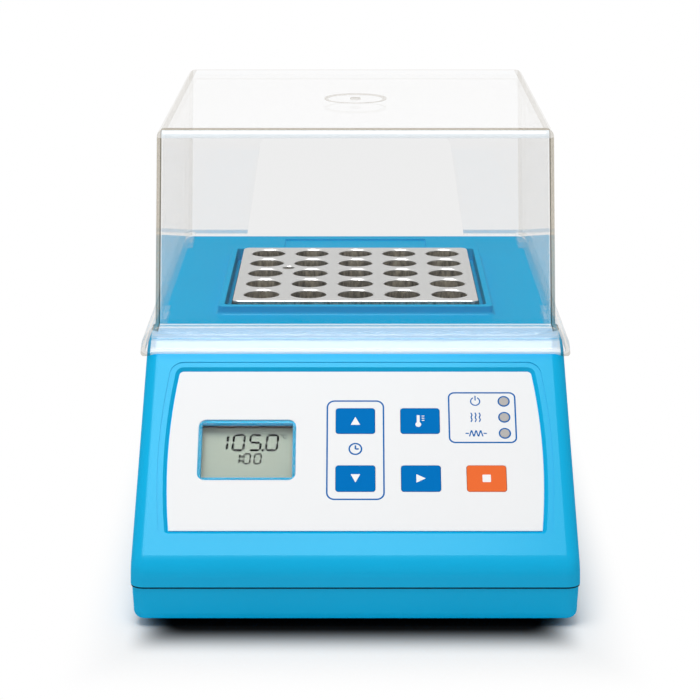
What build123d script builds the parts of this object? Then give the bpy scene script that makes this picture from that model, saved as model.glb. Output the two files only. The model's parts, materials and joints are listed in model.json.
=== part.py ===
"""Chemical oxygen demand reactor: a heated block for 25 vials in a two-part moulded housing.

Millimetres. X points right, Y to the back and Z up. The origin is on the bench, under the middle of
the housing.
"""

from build123d import *
from math import atan, cos, degrees, radians, sin, sqrt, tan
import os

os.makedirs("parts", exist_ok=True)

# Housing
body_width = 190.0
body_depth = 300.0
feet_height = 3.0
lower_height = 15.4
deck_above_split = 88.6
deck_half_width_loss = 2.2
wall = 2.5
edge_radius = 6.0
front_height = 9.5
slope_angle = 43.9
front_radius = 12.0
shoulder_radius = 14.0
rear_radius = 9.0

# Lower shell
lower_step = 0.5
lower_draft = 2.6
floor_thickness = 3.0
lower_edge_radius = 3.6
lip_height = 3.0
lip_thickness = 1.4
lip_clearance = 0.25
vent_slot_length = 34.0
vent_slot_width = 3.0
vent_slot_pitch = 8.0
vent_slot_count = 7
back_vent_margin = 23.0
back_vent_z = 52.0
back_vent_length = 60.0
back_vent_count = 5

# Heating block and its wells
well_radius = 8.4
well_pitch = 22.0
well_rows = 5
block_margin = 13.0
block_height = 72.0
block_rear_margin = 63.5
block_above_rim = 1.0
well_depth = 62.0
well_bevel = 0.6
block_bevel = 0.5
block_corner = 3.0
probe_well_radius = 3.0
probe_well_depth = 45.0
probe_well_bevel = 0.3

# Raised rim round the block
rim_height = 4.6
rim_width = 2.9
rim_ledge_width = 1.5
block_clearance = 1.9
rim_ledge_depth = 6.5
rim_collar_depth = 7.0
rim_corner = 2.2
rim_edge_radius = 0.6
rim_foot_radius = 1.8

# Blank recess behind the block
blank_width = 74.6
blank_depth_y = 34.0
blank_gap_to_rim = 6.0
blank_recess = 0.8

# Control panel, in the plane of the slope: across it and up it
panel_shift = -0.8
overlay_end_margin = 17.94
overlay_bottom_margin = 15.7
overlay_top_margin = 17.6
overlay_bulge_margin = 14.0
overlay_bulge_height = -3.0
overlay_top_corner = 2.0
overlay_bottom_corner = 0.8
overlay_thickness = 0.5
overlay_edge_gap = 0.3
recess_depth = 1.8
recess_step_depth = 0.35
recess_step_width = 2.5
recess_wall = 2.4

# What sits in the panel
key_width = 17.0
key_height = 12.6
key_corner = 1.2
key_gap = 0.15
key_column = 28.2
key_row = 14.15
key_proud = 0.15
key_travel = 0.5
key_stem_width = 4.4
key_flange = 1.2
key_flange_thickness = 0.8
key_flange_gap = 0.1
display_x = -47.0
display_width = 39.5
display_height = 26.8
display_border = 1.5
display_window_corner = 3.5
display_glass_depth = 7.0
display_module_margin = 3.0
display_glass_bevel = 0.3
lamp_inset = 14.3
lamp_y = 16.0
lamp_pitch = 8.0
lamp_radius = 2.5
lamp_clearance = 0.15
lamp_flange_radius = 2.9
lamp_flange_depth = 6.0
lamp_flange_height = 1.0
lamp_lead_width = 0.5
lamp_lead_spacing = 2.54
lamp_bevel = 0.5

# Display board under the panel
board_thickness = 1.6
board_depth = 8.8
board_boss_gap = 0.3
board_end_margin = 6.1
board_corner = 2.0
board_boss_inset = 3.5
board_boss_radius = 2.8
switch_size = 6.0
switch_height = 0.6
switch_plunger_width = 3.2
switch_plunger_height = 0.15

# Safety shield
shield_wall = 2.5
shield_side_inset = 2.6
shield_front_inset = 7.8
shield_rear_inset = 7.0
shield_height = 90.0
shield_draft = 1.6
shield_corner = 4.0
shield_edge_radius = 3.5
skirt_gap = 1.1
skirt_thickness = 1.9
skirt_side_drop = 8.2
skirt_front_drop = 11.0
shield_rest_gap = 0.05
cutout_bottom_half_width = 58.3
cutout_top_half_width = 50.1
cutout_height = 54.0
cutout_corner = 5.0
lug_length = 26.0
lug_width = 1.6
lug_height = 3.0
lug_y_gap = 20.0
dimple_radius = 15.0
dimple_depth = 0.5
dimple_shift = -3.5
gate_radius = 2.5

# Case screws and their posts
post_inset = 11.0
post_radius = 4.0
post_rib = 2.0
case_screw_radius = 1.5
case_screw_length = 20.0
case_head_radius = 2.8
case_head_height = 2.0
case_counterbore = 5.0
case_pilot_depth = 13.0
thread_clearance = 0.05
screw_head_clearance = 0.25

# Rubber feet
foot_side_inset = 19.0
foot_end_inset = 28.0
foot_radius = 8.0
foot_edge = 1.0
foot_plug_radius = 2.4
foot_plug_clearance = 0.1

# What carries the block
plate_inset = 13.0
plate_thickness = 3.0
pad_thickness = 6.6
jacket_thickness = 10.0
jacket_corner = 5.0
jacket_top_gap = 2.0
tray_thickness = 1.5
tray_side_margin = 21.0
tray_end_margin = 13.0
tray_flange = 9.0
tray_boss_side_inset = 6.5
tray_boss_end_inset = 15.0
tray_boss_radius = 3.6
tray_screw_radius = 1.5
tray_screw_length = 9.0
standoff_inset = 7.0
standoff_radius = 3.5
standoff_clearance = 0.15
block_screw_radius = 1.75
block_screw_grip = 7.0
probe_radius = 1.75
probe_clearance = 0.05
probe_length = 44.0
probe_end_gap = 1.0
probe_depth = 45.0
probe_collar_radius = 3.4
probe_collar_length = 5.0
cutout_disc_radius = 8.0
cutout_disc_height = 6.0
cutout_cap_radius = 6.4
cutout_cap_height = 3.0
cutout_tab_width = 5.0
cutout_tab_spread = 4.0
cutout_tab_length = 12.0
cutout_window = 22.0
cutout_tab_thickness = 0.8
cutout_rise = 21.4

# Main board and what stands on it
main_board_front_gap = 18.0
main_board_side_gap = 20.0
main_board_length = 86.0
main_boss_height = 6.0
main_boss_inset = 6.0
main_boss_radius = 3.0
board_screw_radius = 1.1
board_screw_length = 5.0
board_head_radius = 2.2
board_head_height = 1.3
core_size = (42.0, 20.0, 35.0)
core_place = (-42.0, 9.0)
core_leg = 7.0
coil_overhang = 9.0
coil_corner = 4.0
relay_size = (28.0, 12.0, 22.0)
relay_place = (32.0, 15.0)
relay_bevel = 0.8
capacitor_radius = 5.0
capacitor_height = 18.0
capacitor_count = 3
capacitor_pitch = 14.0
capacitor_place = (0.0, 7.0)
capacitor_bevel = 0.8
terminal_size = (40.0, 10.0, 12.0)
terminal_place = (38.0, 36.0)
terminal_ways = 8
terminal_entry = 3.4
terminal_entry_depth = 1.5
header_size = (24.0, 6.0, 7.0)
header_place = (-14.0, -31.0)
ribbon_width = 20.0
ribbon_thickness = 1.0
ribbon_bend = 3.0
ribbon_entry = -4.0
ribbon_drop = 9.0
ribbon_slack = 9.0
ribbon_rise = 7.0

# Service recess in the back wall: mains inlet, fuse drawer and power switch
service_depth = 5.0
service_width = 80.0
service_height = 46.0
service_side_margin = 11.0
service_rise = 9.6
service_corner = 3.0
inlet_inset = 26.0
inlet_body = (30.0, 38.0)
inlet_flange = (44.0, 41.0)
inlet_flange_thickness = 2.0
inlet_length = 24.0
inlet_corner = 3.0
inlet_gap = 0.2
socket_size = (24.0, 16.0)
socket_corner = 5.0
socket_depth = 17.0
socket_drop = 8.0
pin_size = (4.0, 2.0)
pin_spread = 7.0
pin_rise = 4.0
pin_setback = 5.0
inlet_screw_x = 18.5
drawer_size = (23.0, 9.0)
drawer_rise = 11.5
drawer_depth = 19.0
drawer_gap = 0.2
drawer_lip = 1.2
drawer_grip = 7.7
fuse_radius = 2.5
fuse_length = 18.0
rocker_inset = 18.0
rocker_radius = 8.6
rocker_width = 10.4
rocker_gap = 0.25
rocker_tilt = 8.0
rocker_tip = (7.4, 4.4)
rocker_valley = 3.0
rocker_base = 2.5
rocker_pivot_depth = 0.6
rocker_pin_radius = 1.2
rocker_pin_length = 0.9
rocker_pin_clearance = 0.05
rocker_pin_end_gap = 0.1
frame_size = (16.0, 22.0)
frame_corner = 1.5
frame_thickness = 2.0
switch_cut = (13.6, 19.6)
switch_body_depth = 13.0
switch_floor = 2.4
switch_tab = (4.8, 0.8, 7.0)
switch_tab_pitch = 6.0


# ---------------------------------------------------------------- places worked out from these sizes
split_z = feet_height + lower_height
deck_z = split_z + deck_above_split
front_y = -body_depth / 2
rear_y = body_depth / 2
side_draft = degrees(atan(deck_half_width_loss / deck_above_split))
floor_top = feet_height + floor_thickness
case_posts = [
    (x, y)
    for x in (post_inset - body_width / 2, body_width / 2 - post_inset)
    for y in (front_y + post_inset, rear_y - post_inset)
]
foot_places = [
    (x, y)
    for x in (foot_side_inset - body_width / 2, body_width / 2 - foot_side_inset)
    for y in (front_y + foot_end_inset, rear_y - foot_end_inset)
]

# The slope: a plane from the top of the front wall up to the deck
slope = radians(slope_angle)
slope_foot_z = split_z + front_height
slope_run = (deck_z - slope_foot_z) / tan(slope)
slope_length = slope_run / cos(slope)
panel_along = slope_length / 2 + panel_shift
panel_plane = Plane(
    origin=(0, front_y + panel_along * cos(slope), slope_foot_z + panel_along * sin(slope)),
    x_dir=(1, 0, 0),
    z_dir=(0, -sin(slope), cos(slope)),
)
panel_wall_depth = recess_depth + recess_wall
overlay_half_height = slope_length / 2 - overlay_end_margin
overlay_bottom_half_width = body_width / 2 - overlay_bottom_margin
overlay_top_half_width = body_width / 2 - overlay_top_margin
overlay_bulge_half_width = body_width / 2 - overlay_bulge_margin
lamp_x = overlay_bottom_half_width - lamp_inset
board_boss_x = lamp_x + lamp_flange_radius + board_boss_gap + board_boss_radius
board_width = 2 * (board_boss_x + board_boss_inset)
board_height = 2 * (overlay_half_height - board_end_margin)
board_bosses = [
    (side * board_boss_x, end * (board_height / 2 - board_boss_inset))
    for side in (-1, 1) for end in (-1, 1)
]
window_size = (display_width + 2 * display_border, display_height + 2 * display_border)
key_places = {
    "up_key": (0.0, key_row),
    "down_key": (0.0, -key_row),
    "temperature_key": (key_column, key_row),
    "start_key": (key_column, -key_row),
    "stop_key": (2 * key_column, -key_row),
}
lamp_places = [(lamp_x, lamp_y + row * lamp_pitch) for row in (-1, 0, 1)]

# The block, the rim round it and what carries it
block_size = (well_rows - 1) * well_pitch + 2 * block_margin
block_y = rear_y - block_rear_margin - block_size / 2
block_front_y = block_y - block_size / 2
block_rear_y = block_y + block_size / 2
rim_top_z = deck_z + rim_height
block_top_z = rim_top_z + block_above_rim
block_bottom_z = block_top_z - block_height
rim_ledge_opening = block_size + 2 * block_clearance
rim_opening = rim_ledge_opening + 2 * rim_ledge_width
rim_size = rim_opening + 2 * rim_width
probe_well = (-1.5 * well_pitch, block_y + well_pitch / 2)
probe_place = (-well_pitch / 2, block_top_z - probe_depth)
plate_size = block_size - 2 * plate_inset
jacket_size = block_size + 2 * jacket_thickness
pad_top = block_bottom_z - plate_thickness
tray_top = pad_top - pad_thickness
tray_bottom = tray_top - tray_thickness
tray_width = block_size + 2 * tray_side_margin
tray_depth = block_size + 2 * tray_end_margin
tray_bosses = [
    (side * (tray_width / 2 - tray_boss_side_inset), block_y + end * (tray_depth / 2 - tray_boss_end_inset))
    for side in (-1, 1) for end in (-1, 1)
]
standoff_reach = block_size / 2 - standoff_inset
standoffs = [(side * standoff_reach, block_y + end * standoff_reach) for side in (-1, 1) for end in (-1, 1)]

# The main board
main_board_y = front_y + main_board_front_gap + main_board_length / 2
main_board_width = body_width - 2 * main_board_side_gap
main_board_z = floor_top + main_boss_height
main_board_top = main_board_z + board_thickness
main_bosses = [
    (
        side * (main_board_width / 2 - main_boss_inset),
        main_board_y + end * (main_board_length / 2 - main_boss_inset),
    )
    for side in (-1, 1) for end in (-1, 1)
]

# The service recess in the back wall
service_y = rear_y - service_depth
service_right = body_width / 2 - service_side_margin
service_centre = (service_right - service_width / 2, split_z + service_rise + service_height / 2)
inlet_x = service_right - inlet_inset
inlet_z = service_centre[1]
inlet_face_y = service_y + inlet_flange_thickness
rocker_x = service_right - service_width + rocker_inset
rocker_z = service_centre[1]
back_vent_x = back_vent_margin + back_vent_length / 2 - body_width / 2

# The shield
shield_half_width = body_width / 2 - deck_half_width_loss - shield_side_inset
shield_front_y = front_y + slope_run + shield_front_inset
shield_rear_y = rear_y - shield_rear_inset
shield_top_z = deck_z + shield_height


def housing_form(inset, bottom_z):
    """The housing's closed form, moved inwards by inset on every side but its flat bottom."""
    top_z = deck_z - inset
    slope_lift = inset / cos(slope)
    front = front_y + inset
    foot_z = slope_foot_z + inset * tan(slope) - slope_lift
    shoulder = front_y + (top_z - slope_foot_z + slope_lift) / tan(slope)
    rear = rear_y - inset
    rear_top = rear - (top_z - split_z) * tan(radians(side_draft))
    half_low = body_width / 2 - inset - (bottom_z - split_z) * tan(radians(side_draft))
    half_high = body_width / 2 - inset - (deck_z + wall - split_z) * tan(radians(side_draft))
    with BuildPart() as form:
        with BuildSketch(Plane.YZ):
            with BuildLine():
                Polyline(
                    (front, bottom_z), (front, foot_z), (shoulder, top_z), (rear_top, top_z),
                    (rear, bottom_z), close=True,
                )
            make_face()
        extrude(amount=body_width, both=True)
        front_edge = form.edges().filter_by(Axis.X).group_by(Axis.Y)[0].sort_by(Axis.Z)[-1]
        fillet(front_edge, front_radius - inset)
        shoulder_edge = form.edges().filter_by(Axis.X).filter_by_position(
            Axis.Y, shoulder - 0.01, shoulder + 0.01
        )
        fillet(shoulder_edge, shoulder_radius - inset)
        rear_edge = form.edges().filter_by(Axis.X).filter_by_position(
            Axis.Y, rear_top - 0.01, rear_top + 0.01
        )
        fillet(rear_edge, rear_radius - inset)
        with BuildSketch(Plane.XZ):
            Polygon(
                (-half_low, bottom_z), (half_low, bottom_z),
                (half_high, deck_z + wall), (-half_high, deck_z + wall), align=None,
            )
        extrude(amount=body_depth, both=True, mode=Mode.INTERSECT)
        side_edges = form.edges().filter_by(
            lambda edge: abs(edge.center().X) > body_width / 4 and edge.center().Z > bottom_z + 0.01
        )
        fillet(side_edges, edge_radius - inset)
    return form.part


def panel_outline(margin):
    """The overlay's outline with its bowed sides, grown by margin."""
    with BuildSketch() as outline:
        with BuildLine():
            right = ThreePointArc(
                (overlay_bottom_half_width, -overlay_half_height),
                (overlay_bulge_half_width, overlay_bulge_height),
                (overlay_top_half_width, overlay_half_height),
            )
            mirror(right, about=Plane.YZ)
            Line(
                (-overlay_bottom_half_width, -overlay_half_height),
                (overlay_bottom_half_width, -overlay_half_height),
            )
            Line(
                (-overlay_top_half_width, overlay_half_height),
                (overlay_top_half_width, overlay_half_height),
            )
        make_face()
        corners = outline.vertices().group_by(Axis.Y)
        fillet(corners[-1], overlay_top_corner)
        fillet(corners[0], overlay_bottom_corner)
        if margin > 0:
            offset(amount=margin)
    return outline.sketch


def drafted_box(inset, bottom_z, top_z):
    """The shield's drafted box, moved inwards by inset; its stated plan size holds at the deck."""
    growth = (deck_z - bottom_z) * tan(radians(shield_draft)) - inset
    with BuildPart() as box:
        with BuildSketch(Plane.XY.offset(bottom_z)):
            with Locations((0, (shield_front_y + shield_rear_y) / 2)):
                Rectangle(
                    2 * (shield_half_width + growth), shield_rear_y - shield_front_y + 2 * growth
                )
        extrude(amount=top_z - bottom_z, taper=shield_draft)
        upright_edges = box.edges().filter_by(
            lambda edge: edge.bounding_box().size.Z > (top_z - bottom_z) / 2
        )
        fillet(upright_edges, shield_corner - inset)
    return box.part


def finish(name, builder):
    """Label a finished sub-part and write it to its own file."""
    builder.part.label = name
    export_step(builder.part, f"parts/{name}.step")


def screw_set(places, plane, head_radius, head_height, shank_radius, shank_length):
    """Cheese-head screws: each head bears on the plane and its shank runs along the plane's normal."""
    with BuildPart() as screws:
        with BuildSketch(plane):
            with Locations(*places):
                Circle(head_radius)
        extrude(amount=-head_height)
        with BuildSketch(plane):
            with Locations(*places):
                Circle(shank_radius)
        extrude(amount=shank_length)
    return screws


# ---------------------------------------------------------------- upper shell
with BuildPart() as post_set:
    with BuildSketch(Plane.XY.offset(split_z)):
        with Locations(*case_posts):
            Circle(post_radius)
    extrude(amount=deck_above_split)
    with BuildSketch(Plane.XY.offset(split_z + lip_height + wall)):
        for post_x, post_y in case_posts:
            with Locations((post_x * (1 + post_radius / abs(post_x)), post_y)):
                Rectangle(2 * post_radius, post_rib)
    extrude(amount=deck_above_split)
    add(housing_form(wall / 2, split_z), mode=Mode.INTERSECT)

recess_run = recess_depth - recess_step_depth
recess_margin = overlay_edge_gap + recess_run + recess_step_width
with BuildPart() as upper_shell:
    add(housing_form(0, split_z))
    add(housing_form(wall, split_z - wall), mode=Mode.SUBTRACT)
    add(post_set.part)
    # Thick wall behind the control panel, then the stepped recess in front of it
    with BuildSketch(panel_plane.offset(-panel_wall_depth)):
        add(panel_outline(recess_margin + wall))
    extrude(amount=panel_wall_depth)
    with BuildSketch(panel_plane.offset(-board_depth)):
        with Locations(*board_bosses):
            Circle(board_boss_radius)
    extrude(amount=board_depth - panel_wall_depth)
    with BuildSketch(panel_plane):
        add(panel_outline(recess_margin))
    extrude(amount=-recess_step_depth, mode=Mode.SUBTRACT)
    with BuildSketch(panel_plane.offset(-recess_step_depth)):
        add(panel_outline(overlay_edge_gap + recess_run))
    with BuildSketch(panel_plane.offset(-recess_depth)):
        add(panel_outline(overlay_edge_gap))
    loft(mode=Mode.SUBTRACT)
    with BuildSketch(panel_plane):
        with Locations((display_x, 0)):
            Rectangle(display_width, display_height)
        with Locations(*key_places.values()):
            RectangleRounded(key_width + 2 * key_gap, key_height + 2 * key_gap, key_corner + key_gap)
        with Locations(*lamp_places):
            Circle(lamp_radius + lamp_clearance)
    extrude(amount=-panel_wall_depth - wall, mode=Mode.SUBTRACT)
    with BuildSketch(panel_plane.offset(-board_depth)):
        with Locations(*board_bosses):
            Circle(board_screw_radius + thread_clearance)
    extrude(amount=board_screw_length + thread_clearance, mode=Mode.SUBTRACT)
    # Raised rim round the block, with its ledge
    with BuildSketch(Plane.XY.offset(deck_z - rim_collar_depth)):
        with Locations((0, block_y)):
            RectangleRounded(rim_size, rim_size, rim_corner)
    extrude(amount=rim_collar_depth + rim_height)
    with BuildSketch(Plane.XY.offset(rim_top_z)):
        with Locations((0, block_y)):
            RectangleRounded(rim_opening, rim_opening, rim_corner)
    extrude(amount=-rim_ledge_depth, mode=Mode.SUBTRACT)
    with BuildSketch(Plane.XY.offset(rim_top_z)):
        with Locations((0, block_y)):
            RectangleRounded(rim_ledge_opening, rim_ledge_opening, rim_corner)
    extrude(amount=-rim_height - rim_collar_depth - wall, mode=Mode.SUBTRACT)
    rim_edges = upper_shell.edges().filter_by_position(Axis.Z, rim_top_z - 0.01, rim_top_z + 0.01)
    fillet(rim_edges, rim_edge_radius)
    foot_edges = upper_shell.edges().filter_by_position(Axis.Z, deck_z - 0.01, deck_z + 0.01).filter_by(
        lambda edge: abs(edge.center().X) < rim_size / 2 + 0.1
        and abs(edge.center().Y - block_y) < rim_size / 2 + 0.1
    )
    fillet(foot_edges, rim_foot_radius)
    # Blank recess behind the rim
    with BuildSketch(Plane.XY.offset(deck_z)):
        with Locations((0, block_y + rim_size / 2 + blank_gap_to_rim + blank_depth_y / 2)):
            RectangleRounded(blank_width, blank_depth_y, blank_recess)
    extrude(amount=-blank_recess, mode=Mode.SUBTRACT)
    # Service recess in the back wall
    service_plane = Plane(origin=(0, service_y, 0), x_dir=(-1, 0, 0), z_dir=(0, 1, 0))
    with BuildSketch(service_plane.offset(-wall)):
        with Locations((-service_centre[0], service_centre[1])):
            RectangleRounded(service_width + 2 * wall, service_height + 2 * wall, service_corner + wall)
    extrude(amount=2 * wall)
    with BuildSketch(service_plane):
        with Locations((-service_centre[0], service_centre[1])):
            RectangleRounded(service_width, service_height, service_corner)
    extrude(amount=4 * wall, mode=Mode.SUBTRACT)
    with BuildSketch(service_plane):
        with Locations((-inlet_x, inlet_z)):
            Rectangle(inlet_body[0] + 2 * inlet_gap, inlet_body[1] + 2 * inlet_gap)
        with Locations(*[(-inlet_x + side * inlet_screw_x, inlet_z) for side in (-1, 1)]):
            Circle(board_screw_radius + thread_clearance)
        with Locations((-rocker_x, rocker_z)):
            Rectangle(switch_cut[0] + 2 * inlet_gap, switch_cut[1] + 2 * inlet_gap)
    extrude(amount=-2 * wall, mode=Mode.SUBTRACT)
    # Pilot holes for the case screws
    with BuildSketch(Plane.XY.offset(split_z)):
        with Locations(*case_posts):
            Circle(case_screw_radius + thread_clearance)
    extrude(amount=case_pilot_depth, mode=Mode.SUBTRACT)
    # Vents in the back wall, beside the service recess
    with BuildSketch(Plane.XZ.offset(-rear_y - 1)):
        with Locations((back_vent_x, back_vent_z)):
            with GridLocations(0, vent_slot_pitch, 1, back_vent_count):
                SlotOverall(back_vent_length, vent_slot_width)
    extrude(amount=2 * wall + 2, mode=Mode.SUBTRACT)
finish("upper_shell", upper_shell)

# ---------------------------------------------------------------- lower shell
lower_width = body_width - 2 * lower_step
lower_depth = body_depth - 2 * lower_step
lower_corner = edge_radius - lower_step
lip_width = body_width - 2 * (wall + lip_clearance)
lip_depth = body_depth - 2 * (wall + lip_clearance)
lip_corner = edge_radius - wall - lip_clearance
with BuildPart() as lower_shell:
    with BuildSketch(Plane.XY.offset(split_z)):
        RectangleRounded(lower_width, lower_depth, lower_corner)
    extrude(amount=-lower_height, taper=lower_draft)
    fillet(lower_shell.edges().group_by(Axis.Z)[0], lower_edge_radius)
    with BuildSketch(Plane.XY.offset(split_z)):
        RectangleRounded(lower_width - 2 * wall, lower_depth - 2 * wall, lower_corner - wall)
    extrude(amount=floor_top - split_z, taper=lower_draft, mode=Mode.SUBTRACT)
    # Lip inside the upper shell
    with BuildSketch(Plane.XY.offset(split_z - lip_height)):
        RectangleRounded(lip_width, lip_depth, lip_corner)
        RectangleRounded(
            lip_width - 2 * lip_thickness, lip_depth - 2 * lip_thickness, lip_corner - lip_thickness,
            mode=Mode.SUBTRACT,
        )
    extrude(amount=2 * lip_height)
    # Case posts, tray bosses and board bosses
    with BuildSketch(Plane.XY.offset(feet_height)):
        with Locations(*case_posts):
            Circle(post_radius + post_rib / 2)
    extrude(amount=lower_height)
    with BuildSketch(Plane.XY.offset(feet_height)):
        with Locations(*tray_bosses):
            Circle(tray_boss_radius)
    extrude(amount=tray_bottom - feet_height)
    with BuildSketch(Plane.XY.offset(feet_height)):
        with Locations(*main_bosses):
            Circle(main_boss_radius)
    extrude(amount=floor_thickness + main_boss_height)
    # Holes: case screws with their counterbores, tray and board screws, feet
    with BuildSketch(Plane.XY.offset(feet_height)):
        with Locations(*case_posts):
            Circle(case_head_radius + screw_head_clearance)
    extrude(amount=case_counterbore, mode=Mode.SUBTRACT)
    with BuildSketch(Plane.XY.offset(feet_height)):
        with Locations(*case_posts):
            Circle(case_screw_radius + thread_clearance)
        with Locations(*foot_places):
            Circle(foot_plug_radius + foot_plug_clearance)
    extrude(amount=lower_height, mode=Mode.SUBTRACT)
    with BuildSketch(Plane.XY.offset(tray_bottom)):
        with Locations(*tray_bosses):
            Circle(tray_screw_radius + thread_clearance)
    extrude(amount=-tray_screw_length, mode=Mode.SUBTRACT)
    with BuildSketch(Plane.XY.offset(floor_top + main_boss_height)):
        with Locations(*main_bosses):
            Circle(board_screw_radius + thread_clearance)
    extrude(amount=-board_screw_length, mode=Mode.SUBTRACT)
    # Vent slots in the floor
    with BuildSketch(Plane.XY.offset(feet_height)):
        for vent_y in (main_board_y, block_y):
            with Locations((0, vent_y)):
                with GridLocations(0, vent_slot_pitch, 1, vent_slot_count):
                    Rectangle(vent_slot_length, vent_slot_width)
    extrude(amount=floor_thickness, mode=Mode.SUBTRACT)
finish("lower_shell", lower_shell)

# ---------------------------------------------------------------- feet and case screws
with BuildPart() as rubber_feet:
    with BuildSketch(Plane.XY):
        with Locations(*foot_places):
            Circle(foot_radius)
    extrude(amount=feet_height)
    chamfer(rubber_feet.edges().group_by(Axis.Z)[0], foot_edge)
    with BuildSketch(Plane.XY.offset(feet_height)):
        with Locations(*foot_places):
            Circle(foot_plug_radius)
    extrude(amount=floor_thickness)
finish("rubber_feet", rubber_feet)

case_screws = screw_set(
    case_posts, Plane.XY.offset(feet_height + case_counterbore),
    case_head_radius, case_head_height, case_screw_radius, case_screw_length,
)
finish("case_screws", case_screws)

# ---------------------------------------------------------------- control panel
with BuildPart() as control_overlay:
    with BuildSketch(panel_plane.offset(-recess_depth)):
        add(panel_outline(0))
        with Locations((display_x, 0)):
            RectangleRounded(*window_size, display_window_corner, mode=Mode.SUBTRACT)
        with Locations(*key_places.values()):
            RectangleRounded(
                key_width + 2 * key_gap, key_height + 2 * key_gap, key_corner + key_gap,
                mode=Mode.SUBTRACT,
            )
        with Locations(*lamp_places):
            Circle(lamp_radius + lamp_clearance, mode=Mode.SUBTRACT)
    extrude(amount=overlay_thickness)
finish("control_overlay", control_overlay)

with BuildPart() as display_window:
    with BuildSketch(panel_plane.offset(-recess_depth)):
        with Locations((display_x, 0)):
            RectangleRounded(*window_size, display_window_corner)
    extrude(amount=overlay_thickness)
finish("display_window", display_window)

with BuildPart() as display_module:
    with BuildSketch(panel_plane.offset(-board_depth)):
        with Locations((display_x, 0)):
            Rectangle(display_width + 2 * display_module_margin, display_height + 2 * display_module_margin)
    extrude(amount=board_depth - display_glass_depth)
    glass_rim = display_module.edges().filter_by(
        lambda edge: abs(panel_plane.to_local_coords(edge.center()).Z + display_glass_depth) < 0.01
    )
    chamfer(glass_rim, display_glass_bevel)
finish("display_module", display_module)

cap_top = -recess_depth + overlay_thickness + key_proud
flange_top = -panel_wall_depth - key_flange_gap
stem_end = -board_depth + switch_height + switch_plunger_height + key_travel + thread_clearance
for key_name, place in key_places.items():
    with BuildPart() as key:
        with BuildSketch(panel_plane.offset(flange_top)):
            with Locations(place):
                RectangleRounded(key_width, key_height, key_corner)
        extrude(amount=cap_top - flange_top)
        cap_rim = key.edges().filter_by(
            lambda edge: abs(panel_plane.to_local_coords(edge.center()).Z - cap_top) < 0.01
        )
        chamfer(cap_rim, key_proud)
        with BuildSketch(panel_plane.offset(flange_top)):
            with Locations(place):
                Rectangle(key_width + 2 * key_flange, key_height + 2 * key_flange)
        extrude(amount=-key_flange_thickness)
        with BuildSketch(panel_plane.offset(stem_end)):
            with Locations(place):
                Rectangle(key_stem_width, key_stem_width)
        extrude(amount=flange_top - key_flange_thickness - stem_end)
    finish(key_name, key)

with BuildPart() as indicator_lamps:
    with BuildSketch(panel_plane.offset(-lamp_flange_depth)):
        with Locations(*lamp_places):
            Circle(lamp_radius)
    extrude(amount=lamp_flange_depth - recess_depth + overlay_thickness + key_proud)
    lamp_rims = indicator_lamps.edges().filter_by(
        lambda edge: panel_plane.to_local_coords(edge.center()).Z > -recess_depth
    )
    chamfer(lamp_rims, lamp_bevel)
    with BuildSketch(panel_plane.offset(-lamp_flange_depth)):
        with Locations(*lamp_places):
            Circle(lamp_flange_radius)
    extrude(amount=-lamp_flange_height)
    with BuildSketch(panel_plane.offset(-lamp_flange_depth - lamp_flange_height)):
        for lamp in lamp_places:
            with Locations(lamp):
                with GridLocations(lamp_lead_spacing, 0, 2, 1):
                    Rectangle(lamp_lead_width, lamp_lead_width)
    extrude(amount=lamp_flange_depth + lamp_flange_height - board_depth)
finish("indicator_lamps", indicator_lamps)

with BuildPart() as display_board:
    with BuildSketch(panel_plane.offset(-board_depth)):
        RectangleRounded(board_width, board_height, board_corner)
        with Locations(*board_bosses):
            Circle(board_screw_radius + thread_clearance, mode=Mode.SUBTRACT)
    extrude(amount=-board_thickness)
finish("display_board", display_board)

board_underside = Plane(
    origin=panel_plane.offset(-board_depth - board_thickness).origin,
    x_dir=(1, 0, 0), z_dir=panel_plane.z_dir,
)
display_board_screws = screw_set(
    board_bosses, board_underside, board_head_radius, board_head_height,
    board_screw_radius, board_thickness + board_screw_length - thread_clearance,
)
finish("display_board_screws", display_board_screws)

with BuildPart() as key_switches:
    with BuildSketch(panel_plane.offset(-board_depth)):
        with Locations(*key_places.values()):
            Rectangle(switch_size, switch_size)
    extrude(amount=switch_height)
    with BuildSketch(panel_plane.offset(-board_depth + switch_height)):
        with Locations(*key_places.values()):
            Rectangle(switch_plunger_width, switch_plunger_width)
    extrude(amount=switch_plunger_height)
finish("key_switches", key_switches)

# ---------------------------------------------------------------- heating block
with BuildPart() as heater_block:
    with BuildSketch(Plane.XY.offset(block_bottom_z)):
        with Locations((0, block_y)):
            RectangleRounded(block_size, block_size, block_corner)
    extrude(amount=block_height)
    chamfer(heater_block.faces().sort_by(Axis.Z)[-1].edges(), block_bevel)
    with BuildSketch(Plane.XY.offset(block_top_z)):
        with Locations((0, block_y)):
            with GridLocations(well_pitch, well_pitch, well_rows, well_rows):
                Circle(well_radius)
    extrude(amount=-well_depth, mode=Mode.SUBTRACT)
    with BuildSketch(Plane.XY.offset(block_top_z)):
        with Locations(probe_well):
            Circle(probe_well_radius)
    extrude(amount=-probe_well_depth, mode=Mode.SUBTRACT)
    mouths = heater_block.edges().filter_by(GeomType.CIRCLE).filter_by_position(
        Axis.Z, block_top_z - 0.01, block_top_z + 0.01
    )
    chamfer(mouths.filter_by(lambda edge: edge.radius > probe_well_radius), well_bevel)
    chamfer(mouths.filter_by(lambda edge: edge.radius <= probe_well_radius), probe_well_bevel)
    with BuildSketch(Plane.XY.offset(block_bottom_z)):
        with Locations(*standoffs):
            Circle(block_screw_radius + thread_clearance)
    extrude(amount=block_screw_grip + thread_clearance, mode=Mode.SUBTRACT)
    with BuildSketch(Plane.XZ.offset(-block_front_y)):
        with Locations(probe_place):
            Circle(probe_radius + probe_clearance)
    extrude(amount=-probe_length, mode=Mode.SUBTRACT)
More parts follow.
